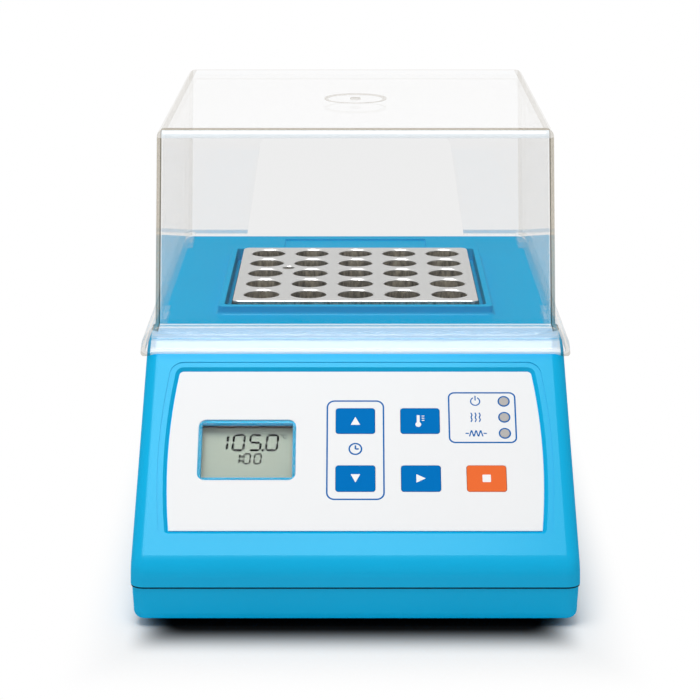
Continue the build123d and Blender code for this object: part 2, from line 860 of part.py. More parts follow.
finish("heater_block", heater_block)

jacket_top = deck_z - rim_collar_depth - jacket_top_gap
cutout_z = block_bottom_z + cutout_rise
with BuildPart() as heating_plate:
    with BuildSketch(Plane.XY.offset(pad_top)):
        with Locations((0, block_y)):
            RectangleRounded(plate_size, plate_size, rim_corner)
    extrude(amount=plate_thickness)
finish("heating_plate", heating_plate)

with BuildPart() as insulation_pad:
    with BuildSketch(Plane.XY.offset(tray_top)):
        with Locations((0, block_y)):
            RectangleRounded(block_size, block_size, block_corner)
        with Locations(*standoffs):
            Circle(standoff_radius + standoff_clearance, mode=Mode.SUBTRACT)
    extrude(amount=pad_thickness)
finish("insulation_pad", insulation_pad)

with BuildPart() as insulation_jacket:
    with BuildSketch(Plane.XY.offset(tray_top)):
        with Locations((0, block_y)):
            RectangleRounded(jacket_size, jacket_size, jacket_corner)
            RectangleRounded(block_size, block_size, block_corner, mode=Mode.SUBTRACT)
    extrude(amount=jacket_top - tray_top)
    with BuildSketch(Plane.XZ.offset(-block_front_y)):
        with Locations(probe_place):
            Circle(probe_collar_radius + standoff_clearance)
    extrude(amount=jacket_thickness, mode=Mode.SUBTRACT)
    with BuildSketch(Plane.XZ.offset(-block_rear_y)):
        with Locations((0, cutout_z)):
            Rectangle(cutout_window, cutout_window)
    extrude(amount=-jacket_thickness, mode=Mode.SUBTRACT)
finish("insulation_jacket", insulation_jacket)

with BuildPart() as block_tray:
    with BuildSketch(Plane.XZ.offset(-(block_y + tray_depth / 2))):
        with BuildLine():
            tray_line = FilletPolyline(
                (-tray_width / 2 + tray_thickness / 2, tray_top - tray_flange),
                (-tray_width / 2 + tray_thickness / 2, tray_top - tray_thickness / 2),
                (tray_width / 2 - tray_thickness / 2, tray_top - tray_thickness / 2),
                (tray_width / 2 - tray_thickness / 2, tray_top - tray_flange),
                radius=tray_thickness,
            )
        trace(tray_line, line_width=tray_thickness)
    extrude(amount=tray_depth)
    with BuildSketch(Plane.XY.offset(tray_top)):
        with Locations(*standoffs):
            Circle(block_screw_radius + thread_clearance)
        with Locations(*tray_bosses):
            Circle(tray_screw_radius + thread_clearance)
    extrude(amount=-2 * tray_thickness, mode=Mode.SUBTRACT)
finish("block_tray", block_tray)

with BuildPart() as block_standoffs:
    with BuildSketch(Plane.XY.offset(tray_top)):
        with Locations(*standoffs):
            Circle(standoff_radius)
            Circle(block_screw_radius + thread_clearance, mode=Mode.SUBTRACT)
    extrude(amount=block_bottom_z - tray_top)
finish("block_standoffs", block_standoffs)

block_screws = screw_set(
    standoffs, Plane.XY.offset(tray_bottom), case_head_radius, case_head_height,
    block_screw_radius, block_bottom_z - tray_bottom + block_screw_grip,
)
finish("block_screws", block_screws)

tray_face = Plane(origin=(0, 0, tray_top), x_dir=(1, 0, 0), z_dir=(0, 0, -1))
tray_screws = screw_set(
    [(x, -y) for x, y in tray_bosses], tray_face, case_head_radius, case_head_height,
    tray_screw_radius, tray_screw_length,
)
finish("tray_screws", tray_screws)

with BuildPart() as temperature_probe:
    with BuildSketch(Plane.XZ.offset(-block_front_y)):
        with Locations(probe_place):
            Circle(probe_radius)
    extrude(amount=probe_end_gap - probe_length)
    with BuildSketch(Plane.XZ.offset(-block_front_y)):
        with Locations(probe_place):
            Circle(probe_collar_radius)
    extrude(amount=jacket_thickness + probe_collar_length)
finish("temperature_probe", temperature_probe)

with BuildPart() as thermal_cutout:
    with BuildSketch(Plane.XZ.offset(-block_rear_y)):
        with Locations((0, cutout_z)):
            Circle(cutout_disc_radius)
    extrude(amount=-cutout_disc_height)
    with BuildSketch(Plane.XZ.offset(-block_rear_y - cutout_disc_height)):
        with Locations((0, cutout_z)):
            Circle(cutout_cap_radius)
    extrude(amount=-cutout_cap_height)
    with BuildSketch(Plane.XZ.offset(-block_rear_y - cutout_disc_height - cutout_cap_height)):
        with Locations(*[(side * cutout_tab_spread, cutout_z) for side in (-1, 1)]):
            Rectangle(cutout_tab_thickness, cutout_tab_width)
    extrude(amount=-cutout_tab_length)
finish("thermal_cutout", thermal_cutout)

# ---------------------------------------------------------------- main board
with BuildPart() as main_board:
    with BuildSketch(Plane.XY.offset(main_board_z)):
        with Locations((0, main_board_y)):
            RectangleRounded(main_board_width, main_board_length, board_corner)
        with Locations(*main_bosses):
            Circle(board_screw_radius + thread_clearance, mode=Mode.SUBTRACT)
    extrude(amount=board_thickness)
finish("main_board", main_board)

board_face = Plane(origin=(0, 0, main_board_top), x_dir=(1, 0, 0), z_dir=(0, 0, -1))
main_board_screws = screw_set(
    [(x, -y) for x, y in main_bosses], board_face, board_head_radius, board_head_height,
    board_screw_radius, board_thickness + board_screw_length - thread_clearance,
)
finish("main_board_screws", main_board_screws)

core_x = core_place[0]
core_y = main_board_y + core_place[1]
window = (core_size[0] - 4 * core_leg) / 2
with BuildPart() as transformer_core:
    with BuildSketch(Plane.XY.offset(main_board_top)):
        with Locations((core_x, core_y)):
            Rectangle(core_size[0], core_size[1])
    extrude(amount=core_size[2])
    with BuildSketch(Plane.XZ.offset(-core_y - core_size[1] / 2)):
        with Locations(*[
            (core_x + side * (core_leg + window / 2), main_board_top + core_size[2] / 2) for side in (-1, 1)
        ]):
            Rectangle(window, core_size[2] - 2 * core_leg)
    extrude(amount=core_size[1], mode=Mode.SUBTRACT)
finish("transformer_core", transformer_core)

with BuildPart() as transformer_coil:
    with BuildSketch(Plane.XY.offset(main_board_top + core_leg)):
        with Locations((core_x, core_y)):
            RectangleRounded(
                2 * core_leg + 2 * window, core_size[1] + 2 * coil_overhang, coil_corner
            )
            Rectangle(2 * core_leg, core_size[1], mode=Mode.SUBTRACT)
    extrude(amount=core_size[2] - 2 * core_leg)
finish("transformer_coil", transformer_coil)

with BuildPart() as heater_relay:
    with BuildSketch(Plane.XY.offset(main_board_top)):
        with Locations((relay_place[0], main_board_y + relay_place[1])):
            Rectangle(relay_size[0], relay_size[1])
    extrude(amount=relay_size[2])
    chamfer(heater_relay.faces().sort_by(Axis.Z)[-1].edges(), relay_bevel)
finish("heater_relay", heater_relay)

with BuildPart() as capacitors:
    with BuildSketch(Plane.XY.offset(main_board_top)):
        with Locations((capacitor_place[0], main_board_y + capacitor_place[1])):
            with GridLocations(0, capacitor_pitch, 1, capacitor_count):
                Circle(capacitor_radius)
    extrude(amount=capacitor_height)
    chamfer(capacitors.edges().group_by(Axis.Z)[-1], capacitor_bevel)
finish("capacitors", capacitors)

with BuildPart() as terminal_block:
    with BuildSketch(Plane.XY.offset(main_board_top)):
        with Locations((terminal_place[0], main_board_y + terminal_place[1])):
            Rectangle(terminal_size[0], terminal_size[1])
    extrude(amount=terminal_size[2])
    with BuildSketch(Plane.XY.offset(main_board_top + terminal_size[2])):
        with Locations((terminal_place[0], main_board_y + terminal_place[1])):
            with GridLocations(terminal_size[0] / terminal_ways, 0, terminal_ways, 1):
                Rectangle(terminal_entry, terminal_entry)
    extrude(amount=-terminal_entry_depth, mode=Mode.SUBTRACT)
finish("terminal_block", terminal_block)

with BuildPart() as ribbon_header:
    with BuildSketch(Plane.XY.offset(main_board_top)):
        with Locations((header_place[0], main_board_y + header_place[1])):
            Rectangle(header_size[0], header_size[1])
    extrude(amount=header_size[2])
finish("ribbon_header", ribbon_header)

# ---------------------------------------------------------------- ribbon cable
ribbon_plane = panel_plane.offset(-board_depth - board_thickness)
ribbon_start = ribbon_plane.from_local_coords((0, ribbon_entry, 0))
ribbon_knee = ribbon_plane.from_local_coords((0, ribbon_entry, -ribbon_drop))
header_y = main_board_y + header_place[1]
header_top = main_board_top + header_size[2]
with BuildPart() as ribbon_cable:
    with BuildSketch(Plane.YZ.offset(header_place[0] - ribbon_width / 2)):
        with BuildLine():
            ribbon_line = FilletPolyline(
                (ribbon_start.Y, ribbon_start.Z),
                (ribbon_knee.Y, ribbon_knee.Z),
                (ribbon_knee.Y, header_top + ribbon_slack),
                (header_y, header_top + ribbon_rise),
                (header_y, header_top),
                radius=ribbon_bend,
            )
        trace(ribbon_line, line_width=ribbon_thickness)
    extrude(amount=ribbon_width)
finish("ribbon_cable", ribbon_cable)

# ---------------------------------------------------------------- mains inlet and fuse
inlet_plane = Plane(origin=(inlet_x, inlet_face_y, inlet_z), x_dir=(-1, 0, 0), z_dir=(0, 1, 0))
with BuildPart() as mains_inlet:
    with BuildSketch(inlet_plane):
        RectangleRounded(inlet_flange[0], inlet_flange[1], inlet_corner)
    extrude(amount=-inlet_flange_thickness)
    with BuildSketch(inlet_plane):
        Rectangle(inlet_body[0], inlet_body[1])
    extrude(amount=-inlet_length)
    with BuildSketch(inlet_plane) as socket_mouth:
        with Locations((0, -socket_drop)):
            Rectangle(socket_size[0], socket_size[1])
        top_corners = socket_mouth.vertices().group_by(Axis.Y)[-1]
        chamfer(top_corners, socket_corner)
    extrude(amount=-socket_depth, mode=Mode.SUBTRACT)
    with BuildSketch(inlet_plane):
        with Locations((0, drawer_rise)):
            Rectangle(drawer_size[0] + 2 * drawer_gap, drawer_size[1] + 2 * drawer_gap)
    extrude(amount=-drawer_depth - drawer_gap, mode=Mode.SUBTRACT)
    with BuildSketch(inlet_plane):
        with GridLocations(2 * inlet_screw_x, 0, 2, 1):
            Circle(board_screw_radius + thread_clearance)
    extrude(amount=-inlet_flange_thickness, mode=Mode.SUBTRACT)
finish("mains_inlet", mains_inlet)

with BuildPart() as inlet_pins:
    with BuildSketch(inlet_plane.offset(-socket_depth)):
        with Locations((0, -socket_drop + pin_rise / 2)):
            Rectangle(pin_size[1], pin_size[0])
        with Locations(*[(side * pin_spread, -socket_drop - pin_rise / 2) for side in (-1, 1)]):
            Rectangle(pin_size[1], pin_size[0])
    extrude(amount=socket_depth - pin_setback)
finish("inlet_pins", inlet_pins)

with BuildPart() as fuse_drawer:
    with BuildSketch(inlet_plane):
        with Locations((0, drawer_rise)):
            Rectangle(drawer_size[0], drawer_size[1])
    extrude(amount=-drawer_depth)
    with BuildSketch(inlet_plane.offset(-drawer_lip)):
        with Locations((0, drawer_rise + drawer_lip)):
            Rectangle(drawer_size[0] - 2 * drawer_lip, drawer_size[1])
    extrude(amount=-drawer_depth + 2 * drawer_lip, mode=Mode.SUBTRACT)
    with BuildSketch(inlet_plane):
        with Locations((0, drawer_rise + drawer_size[1] / 2 - drawer_lip / 2)):
            Rectangle(drawer_grip, drawer_lip)
    extrude(amount=drawer_lip / 2)
finish("fuse_drawer", fuse_drawer)

fuse_y = inlet_face_y - drawer_depth / 2
fuse_z = inlet_z + drawer_rise - drawer_size[1] / 2 + drawer_lip + fuse_radius + thread_clearance
with BuildPart() as fuse:
    with BuildSketch(Plane(origin=(inlet_x - fuse_length / 2, fuse_y, fuse_z), z_dir=(1, 0, 0))):
        Circle(fuse_radius)
    extrude(amount=fuse_length)
finish("fuse", fuse)

inlet_screw_plane = Plane(
    origin=(inlet_x, inlet_face_y, inlet_z), x_dir=(1, 0, 0), z_dir=(0, -1, 0)
)
inlet_screws = screw_set(
    [(side * inlet_screw_x, 0) for side in (-1, 1)], inlet_screw_plane,
    board_head_radius, board_head_height, board_screw_radius, inlet_flange_thickness + 2 * wall,
)
finish("inlet_screws", inlet_screws)

# ---------------------------------------------------------------- power switch
frame_face_y = service_y + frame_thickness
pivot_y = frame_face_y - frame_thickness - rocker_pivot_depth
cavity_half = rocker_radius + rocker_gap
cavity_width = rocker_width + 2 * rocker_gap
frame_plane = Plane(origin=(rocker_x, frame_face_y, rocker_z), x_dir=(-1, 0, 0), z_dir=(0, 1, 0))
with BuildPart() as switch_frame:
    with BuildSketch(frame_plane):
        RectangleRounded(frame_size[0], frame_size[1], frame_corner)
    extrude(amount=-frame_thickness)
    with BuildSketch(frame_plane):
        Rectangle(switch_cut[0], switch_cut[1])
    extrude(amount=-frame_thickness - switch_body_depth)
    with BuildSketch(frame_plane):
        Rectangle(cavity_width, 2 * cavity_half)
    extrude(amount=-frame_thickness - switch_body_depth + switch_floor, mode=Mode.SUBTRACT)
    with BuildSketch(Plane(origin=(rocker_x, pivot_y, rocker_z), z_dir=(1, 0, 0))):
        Circle(rocker_pin_radius + rocker_pin_clearance)
    extrude(amount=cavity_width / 2 + rocker_pin_length, both=True, mode=Mode.SUBTRACT)
    with BuildSketch(frame_plane.offset(-frame_thickness - switch_body_depth)):
        with GridLocations(0, switch_tab_pitch, 1, 3):
            Rectangle(switch_tab[0], switch_tab[1])
    extrude(amount=-switch_tab[2])
finish("switch_frame", switch_frame)

rocker_plane = Plane(
    origin=(rocker_x - rocker_width / 2, pivot_y, rocker_z),
    x_dir=(0, sin(radians(rocker_tilt)), cos(radians(rocker_tilt))), z_dir=(1, 0, 0),
)
with BuildPart() as power_rocker:
    with BuildSketch(rocker_plane):
        Circle(rocker_radius)
        with BuildLine():
            Polyline(
                (-rocker_tip[0], -rocker_tip[1]), (0, -rocker_valley), (rocker_tip[0], -rocker_tip[1]),
                (rocker_radius, -rocker_radius - 1), (-rocker_radius, -rocker_radius - 1), close=True,
            )
        make_face(mode=Mode.SUBTRACT)
        with Locations((0, rocker_base + rocker_radius)):
            Rectangle(3 * rocker_radius, 2 * rocker_radius, mode=Mode.SUBTRACT)
    extrude(amount=rocker_width)
    with BuildSketch(Plane(origin=(rocker_x, pivot_y, rocker_z), z_dir=(1, 0, 0))):
        Circle(rocker_pin_radius)
    extrude(amount=rocker_width / 2 + rocker_gap + rocker_pin_length - rocker_pin_end_gap, both=True)
finish("power_rocker", power_rocker)

# ---------------------------------------------------------------- safety shield
skirt_bottom_z = deck_z - skirt_side_drop
skirt_outer = skirt_gap + skirt_thickness
with BuildPart() as skirt:
    add(housing_form(-skirt_outer, split_z))
    # Keep what lies over the shoulder: above the side edge, up the slope from the front edge
    with BuildSketch(Plane.XY.offset(split_z - 1)):
        Rectangle(2 * body_width, 2 * body_depth)
    extrude(amount=skirt_bottom_z - split_z + 1, mode=Mode.SUBTRACT)
    shoulder_along = slope_length - panel_along
    with BuildSketch(panel_plane.offset(-body_depth / 4)):
        with Locations((0, shoulder_along - skirt_front_drop - body_depth / 2)):
            Rectangle(2 * body_width, body_depth)
    extrude(amount=body_depth / 2, mode=Mode.SUBTRACT)
    with BuildSketch(Plane.XY.offset(split_z)):
        with Locations((0, shield_rear_y + body_depth / 2)):
            Rectangle(2 * body_width, body_depth)
    extrude(amount=body_depth, mode=Mode.SUBTRACT)

with BuildPart() as safety_shield:
    add(drafted_box(0, skirt_bottom_z, shield_top_z))
    fillet(safety_shield.faces().sort_by(Axis.Z)[-1].edges(), shield_edge_radius)
    add(skirt.part)
    add(drafted_box(shield_wall, skirt_bottom_z - wall, shield_top_z - shield_wall), mode=Mode.SUBTRACT)
    add(housing_form(-skirt_gap, split_z), mode=Mode.SUBTRACT)
    # Locating lugs inside the corners, which stand on the deck
    with BuildSketch(Plane.XY.offset(deck_z + shield_rest_gap)):
        lug_x = shield_half_width - shield_wall - lug_width / 2
        with Locations(*[
            (side * lug_x, y)
            for side in (-1, 1)
            for y in (shield_front_y + lug_y_gap, shield_rear_y - lug_y_gap)
        ]):
            Rectangle(lug_width + shield_wall / 2, lug_length)
    extrude(amount=lug_height)
    # Cut-out in the back wall
    with BuildSketch(Plane.XZ.offset(-shield_rear_y - 1)) as back_opening:
        Polygon(
            (-cutout_bottom_half_width, deck_z), (cutout_bottom_half_width, deck_z),
            (cutout_top_half_width, deck_z + cutout_height),
            (-cutout_top_half_width, deck_z + cutout_height), align=None,
        )
        fillet(back_opening.vertices().group_by(Axis.Y)[-1], cutout_corner)
    extrude(amount=4 * shield_wall, mode=Mode.SUBTRACT)
    # Shallow dimple on top, with the moulding gate at its centre
    with BuildSketch(Plane.XY.offset(shield_top_z)):
        with Locations((0, (shield_front_y + shield_rear_y) / 2 + dimple_shift)):
            Circle(dimple_radius)
            Circle(gate_radius, mode=Mode.SUBTRACT)
    extrude(amount=-dimple_depth, mode=Mode.SUBTRACT)
finish("safety_shield", safety_shield)
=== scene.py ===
"""Chemical oxygen demand reactor: its finishes, prints and fine pieces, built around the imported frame.

Metres, in the frame's axes: X right, Y to the back, Z up, with the origin on the bench.
"""

import json
import logging
import math
from collections.abc import Callable, Iterator
from dataclasses import dataclass, field
from enum import Enum
from typing import ClassVar

import bmesh
import bpy
from mathutils import Matrix, Vector


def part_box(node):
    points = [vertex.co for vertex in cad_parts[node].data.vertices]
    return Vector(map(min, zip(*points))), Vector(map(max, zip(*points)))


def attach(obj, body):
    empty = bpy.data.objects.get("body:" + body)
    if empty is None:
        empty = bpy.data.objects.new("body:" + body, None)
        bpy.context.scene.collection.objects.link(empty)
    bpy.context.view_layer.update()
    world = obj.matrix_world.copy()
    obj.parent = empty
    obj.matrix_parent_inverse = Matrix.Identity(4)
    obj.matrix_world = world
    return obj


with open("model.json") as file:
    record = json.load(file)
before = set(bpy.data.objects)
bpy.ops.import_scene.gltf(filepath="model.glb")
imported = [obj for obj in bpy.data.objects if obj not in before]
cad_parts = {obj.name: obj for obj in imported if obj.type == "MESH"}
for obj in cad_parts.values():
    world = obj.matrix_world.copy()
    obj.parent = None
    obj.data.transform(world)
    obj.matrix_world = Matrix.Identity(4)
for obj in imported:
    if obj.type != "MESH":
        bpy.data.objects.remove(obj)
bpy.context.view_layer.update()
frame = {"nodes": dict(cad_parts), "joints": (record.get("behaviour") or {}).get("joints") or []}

log = logging.getLogger("reactor")

MM = 0.001
Sum = tuple[str | float, ...]  # a result's name, the Math node's operation and its terms


# ---------------------------------------------------------------- small tools
def linear(colour: str) -> tuple[float, float, float, float]:
    """Turn an sRGB hex value into linear colour.

    Args:
        colour: six hex digits, as in "1fa8d8".

    Returns:
        Linear red, green and blue with an alpha of 1.
    """
    channels = [int(colour[place:place + 2], 16) / 255 for place in (0, 2, 4)]
    red, green, blue = (
        value / 12.92 if value <= 0.04045 else ((value + 0.055) / 1.055) ** 2.4 for value in channels
    )
    return red, green, blue, 1.0


def per_mm(size: float) -> float:
    """Pattern scale, in repeats per metre, of a feature that is size millimetres across."""
    return 1 / (size * MM)


def add_node(
    tree: bpy.types.NodeTree, kind: str, settings: dict[str, str] | None = None, **inputs: object,
) -> bpy.types.Node:
    """Add one node, set it up and link it.

    Args:
        tree: the material's node tree.
        kind: the node's type name without its ShaderNode prefix.
        settings: properties of the node itself.
        inputs: values, sockets or nodes by input name, with spaces as underscores, or in_N for the
            Nth input. A node stands for the first output that it has in use.

    Returns:
        The new node.
    """
    node = tree.nodes.new("ShaderNode" + kind)
    for key, value in (settings or {}).items():
        setattr(node, key, value)
    for key, value in inputs.items():
        socket = node.inputs[int(key[3:])] if key.startswith("in_") else node.inputs[key.replace("_", " ")]
        if isinstance(value, bpy.types.Node):
            value = next(output for output in value.outputs if output.enabled)
        if isinstance(value, bpy.types.NodeSocket):
            tree.links.new(value, socket)
        else:
            socket.default_value = value
    return node


def seen_rays(tree: bpy.types.NodeTree) -> bpy.types.Node:
    """Add the sum that tells what is looked at, straight or in gloss or glass, from what lights a surface.

    Args:
        tree: the node tree of the studio's paper or world.

    Returns:
        The node that gives 1 for rays from the eye and 0 for the rest.
    """
    rays = add_node(tree, "LightPath").outputs
    straight = add_node(
        tree, "Math", {"operation": "MAXIMUM"}, in_0=rays["Is Camera Ray"], in_1=rays["Is Glossy Ray"],
    )
    return add_node(tree, "Math", {"operation": "MAXIMUM"}, in_0=straight, in_1=rays["Is Transmission Ray"])


# ---------------------------------------------------------------- finishes
# A pattern's size and relief are in millimetres. A place or width on a piece is in metres.
@dataclass(frozen=True)
class Finish:
    """What a surface is made of. Each kind of finish adds its own nodes."""

    name: str

    def make(self) -> bpy.types.Material:
        """Build the material.

        Returns:
            A new material that shows the finish.
        """
        material = bpy.data.materials.new(self.name)
        material.use_nodes = True
        tree = material.node_tree
        tree.nodes.clear()
        add_node(tree, "OutputMaterial", Surface=self.surface(tree))
        return material

    def surface(self, tree: bpy.types.NodeTree) -> bpy.types.Node:
        """Add the finish's nodes to an empty tree and give the last of them."""
        raise NotImplementedError


@dataclass(frozen=True)
class MouldedPlastic(Finish):
    """Injection-moulded plastic: one even colour under a fine spark-eroded grain from the mould.

    The grain breaks up the gloss, and the pigment drifts a little over a hand's breadth. A housing's
    coarser grain shades itself at low angles, so its sheen keeps one strength all round. A real grain
    is about a third of a millimetre wide, and this one is drawn coarser, so that it shows.
    """

    colour: str
    roughness: float = 0.34
    grain: float = 0.9
    relief: float = 0.012
    drift: float = 0.04
    drift_size: float = 70.0
    gloss_spread: float = 0.06
    ior: float = 1.52
    sheen: str = "ffffff"
    sheen_share: float = 0.0

    def surface(self, tree: bpy.types.NodeTree) -> bpy.types.Node:
        """Add the grain, the drift of the pigment and the sheen.

        Args:
            tree: the material's empty node tree.

        Returns:
            The node that shows the surface.
        """
        place = add_node(tree, "TexCoord").outputs["Object"]
        grain = add_node(tree, "TexNoise", Vector=place, Scale=per_mm(self.grain), Detail=3.0)
        cloud = add_node(tree, "TexNoise", Vector=place, Scale=per_mm(self.drift_size), Detail=1.0)
        drift = add_node(tree, "MapRange", Value=cloud, To_Min=1 - self.drift, To_Max=1 + self.drift)
        tint = add_node(tree, "HueSaturation", Value=drift, Color=linear(self.colour))
        gloss = add_node(
            tree, "MapRange", Value=grain,
            To_Min=self.roughness - self.gloss_spread, To_Max=self.roughness + self.gloss_spread,
        )
        bump = add_node(tree, "Bump", Height=grain, Distance=self.relief * MM, Strength=1.0)
        body = add_node(
            tree, "BsdfPrincipled", Base_Color=tint, Roughness=gloss, Normal=bump, IOR=self.ior,
        )
        sheen = add_node(tree, "BsdfGlossy", Color=linear(self.sheen), Roughness=gloss, Normal=bump)
        return add_node(tree, "MixShader", in_0=self.sheen_share, in_1=body, in_2=sheen)


@dataclass(frozen=True)
class ClearSheet(Finish):
    """Thin clear film or glass: what lies behind shows through, its rim is seen through more of it."""

    tint: str
    edge_tint: str
    mirror: float = 0.03
    steepest_mirror: float = 0.8
    roughness: float = 0.02
    falloff: float = 5.0

    def surface(self, tree: bpy.types.NodeTree) -> bpy.types.Node:
        """Add the tint, and the mirror image that grows to the rim.

        Args:
            tree: the material's empty node tree.

        Returns:
            The node that shows the surface.
        """
        grazing = add_node(tree, "LayerWeight", Blend=0.5).outputs["Facing"]
        steep = add_node(tree, "Math", {"operation": "POWER"}, in_0=grazing, in_1=self.falloff)
        body = add_node(
            tree, "Mix", {"data_type": "RGBA"}, in_0=steep,
            in_6=linear(self.tint), in_7=linear(self.edge_tint),
        )
        mirror = add_node(tree, "MapRange", Value=steep, To_Min=self.mirror, To_Max=self.steepest_mirror)
        through = add_node(tree, "BsdfTransparent", Color=body)
        shine = add_node(tree, "BsdfGlossy", Color=linear("ffffff"), Roughness=self.roughness)
        return add_node(tree, "MixShader", in_0=mirror, in_1=through, in_2=shine)


@dataclass(frozen=True)
class MouldedPolycarbonate(Finish):
    """Clear moulded polycarbonate, a few millimetres thick.

    The front wall greys what is behind it. Its upright edges are seen through their whole width and
    turn taupe, partly from that and partly as painted shade, with a painted dark line inside each. The
    rounded upper edge, the root and the skirt get painted highlights: white bands that stand in for the
    room's light that they bend into the eye. The lamp's light goes through it whole, so what stands
    inside is lit as brightly as the rest.
    """

    top: float
    foot: float
    half_width: float
    front: float
    rear: float
    draft: float
    wall: float
    dimple: float
    dimple_shift: float
    hem: float
    lip: float
    clear: str = "fefefe"
    front_tint: str = "f6f6f6"
    edge_tint: str = "cbc5ba"
    line_tint: str = "8c867b"
    glow_tint: str = "f4fbff"
    mirror: float = 0.016
    steepest_mirror: float = 0.7
    mirror_falloff: float = 6.0
    rim_falloff: float = 24.0
    roughness: float = 0.02
    ripple: float = 60.0
    ripple_relief: float = 0.02
    ripple_strength: float = 0.4

    # Where the rims and the painted shade line lie: depths in from an outer face, and heights over the foot.
    front_reach: float = 0.7 * MM
    edge_width: float = 2.3 * MM
    far_edge_width: float = 3.0 * MM
    ledge_width: float = 4.5 * MM
    brow_width: float = 6.0 * MM
    skin: float = 0.4 * MM
    line_place: float = 2.1 * MM
    line_half: float = 0.3 * MM
    root_height: float = 1.5 * MM
    gate_radius: float = 2.6 * MM
    bowl_half: float = 1.0 * MM
    bowl_depth: float = 1.0 * MM
    bowl_share: float = 0.45
    quiet_share: float = 0.38

    # Where the painted highlights lie, white bands that stand in for light bent to the eye, each with its
    # middle and half its width, and how strong they are. The skirt is ahead of the front face and below
    # the foot, where a place is less than nothing.
    brow_band: tuple[float, float] = (2.0 * MM, 1.6 * MM)
    brow_glow: float = 0.8
    brow_flash: float = 0.35
    root_band: tuple[float, float] = (1.6 * MM, 1.1 * MM)
    root_glow: float = 0.7
    face_half: float = 1.2 * MM
    skirt_step: float = -1.2 * MM
    skirt_side: float = -0.5 * MM
    skirt_start: float = 0.2 * MM
    skirt_drop: float = 2.0 * MM
    skirt_glow: float = 0.22
    skirt_glow_gain: float = 0.21
    skirt_flash: float = 0.1
    skirt_flash_gain: float = -0.06
    crease_band: tuple[float, float] = (-1.2 * MM, 0.45 * MM)
    crease_gain: float = -0.75
    rail_band: tuple[float, float] = (2.2 * MM, 0.8 * MM)
    rail_glow: float = 0.6
    hem_half: float = 0.9 * MM
    hem_glow: float = 0.8

    def zones(self) -> tuple[Sum, ...]:
        """Tell where on the moulding a point lies.

        Returns:
            Rows of a name, an operation and its terms: numbers, or the names of earlier results.
        """
        middle = (self.front + self.rear) / 2 + self.dimple_shift
        return (
            ("below", "SUBTRACT", self.top, "z"),
            ("above", "SUBTRACT", "z", self.foot),
            ("flare", "MULTIPLY", "below", math.tan(self.draft)),
            ("front_y", "ADD", "y", "flare"),
            ("ahead", "SUBTRACT", "front_y", self.front),
            ("rear_y", "SUBTRACT", self.rear, "y"),
            ("astern", "ADD", "rear_y", "flare"),
            ("side_x", "ADD", "flare", self.half_width),
            ("x_size", "ABSOLUTE", "x"),
            ("aside", "SUBTRACT", "side_x", "x_size"),
            ("from_middle", "SUBTRACT", "y", middle),
            ("x_square", "POWER", "x", 2.0),
            ("y_square", "POWER", "from_middle", 2.0),
            ("square", "ADD", "x_square", "y_square"),
            ("reach", "SQRT", "square"),
            ("in_front", "LESS_THAN", "ahead", self.wall + self.front_reach),
            ("in_rear", "LESS_THAN", "astern", self.wall),
            ("on_front", "COMPARE", "ahead", 0.0, self.face_half),
            ("on_top", "LESS_THAN", "below", self.skin),
            ("over_root", "GREATER_THAN", "above", self.root_height),
            ("at_side", "LESS_THAN", "aside", self.edge_width),
            ("outside", "LESS_THAN", "ahead", self.skirt_step),
            ("between", "GREATER_THAN", "aside", self.skirt_side),
            ("skirt", "MULTIPLY", "outside", "between"),
        )

    def edges(self) -> tuple[Sum, ...]:
        """Tell how strongly a point shows an edge ("tinted"), partly the wall's own tint and partly painted
        shade, or the painted dark shade line inside one ("line").

        Returns:
            Rows of a name, an operation and its terms: numbers, or the names of earlier results.
        """
        return (
            ("upright", "MULTIPLY", "at_side", "in_front"),
            ("near_front", "LESS_THAN", "ahead", self.brow_width),
            ("brow", "MULTIPLY", "on_top", "near_front"),
            ("full", "MAXIMUM", "upright", "brow"),
            ("full", "MULTIPLY", "full", "over_root"),
            ("groove", "COMPARE", "aside", self.line_place, self.line_half),
            ("groove", "MULTIPLY", "groove", "in_front"),
            ("line", "MULTIPLY", "groove", "over_root"),
            ("nearest", "MINIMUM", "ahead", "astern"),
            ("nearest", "MINIMUM", "nearest", "aside"),
            ("ledge", "LESS_THAN", "nearest", self.ledge_width),
            ("ledge", "MULTIPLY", "ledge", "on_top"),
            ("far_edge", "LESS_THAN", "astern", self.far_edge_width),
            ("far_edge", "MULTIPLY", "far_edge", "at_side"),
            ("lip", "LESS_THAN", "above", self.lip),
            ("quiet", "MAXIMUM", "ledge", "far_edge"),
            ("quiet", "MAXIMUM", "quiet", "lip"),
            ("quiet", "MULTIPLY", "quiet", self.quiet_share),
            ("gate", "COMPARE", "reach", 0.0, self.gate_radius),
            ("bowl", "COMPARE", "reach", self.dimple - self.bowl_half, self.bowl_half),
            ("bowl", "MAXIMUM", "bowl", "gate"),
            ("near_top", "LESS_THAN", "below", self.bowl_depth),
            ("bowl", "MULTIPLY", "bowl", "near_top"),
            ("bowl", "MULTIPLY", "bowl", self.bowl_share),
            ("rim", "MAXIMUM", "full", "quiet"),
            ("rim", "MAXIMUM", "rim", "bowl"),
            ("glance", "POWER", "grazing", self.rim_falloff),
            ("tinted", "MAXIMUM", "rim", "glance"),
        )

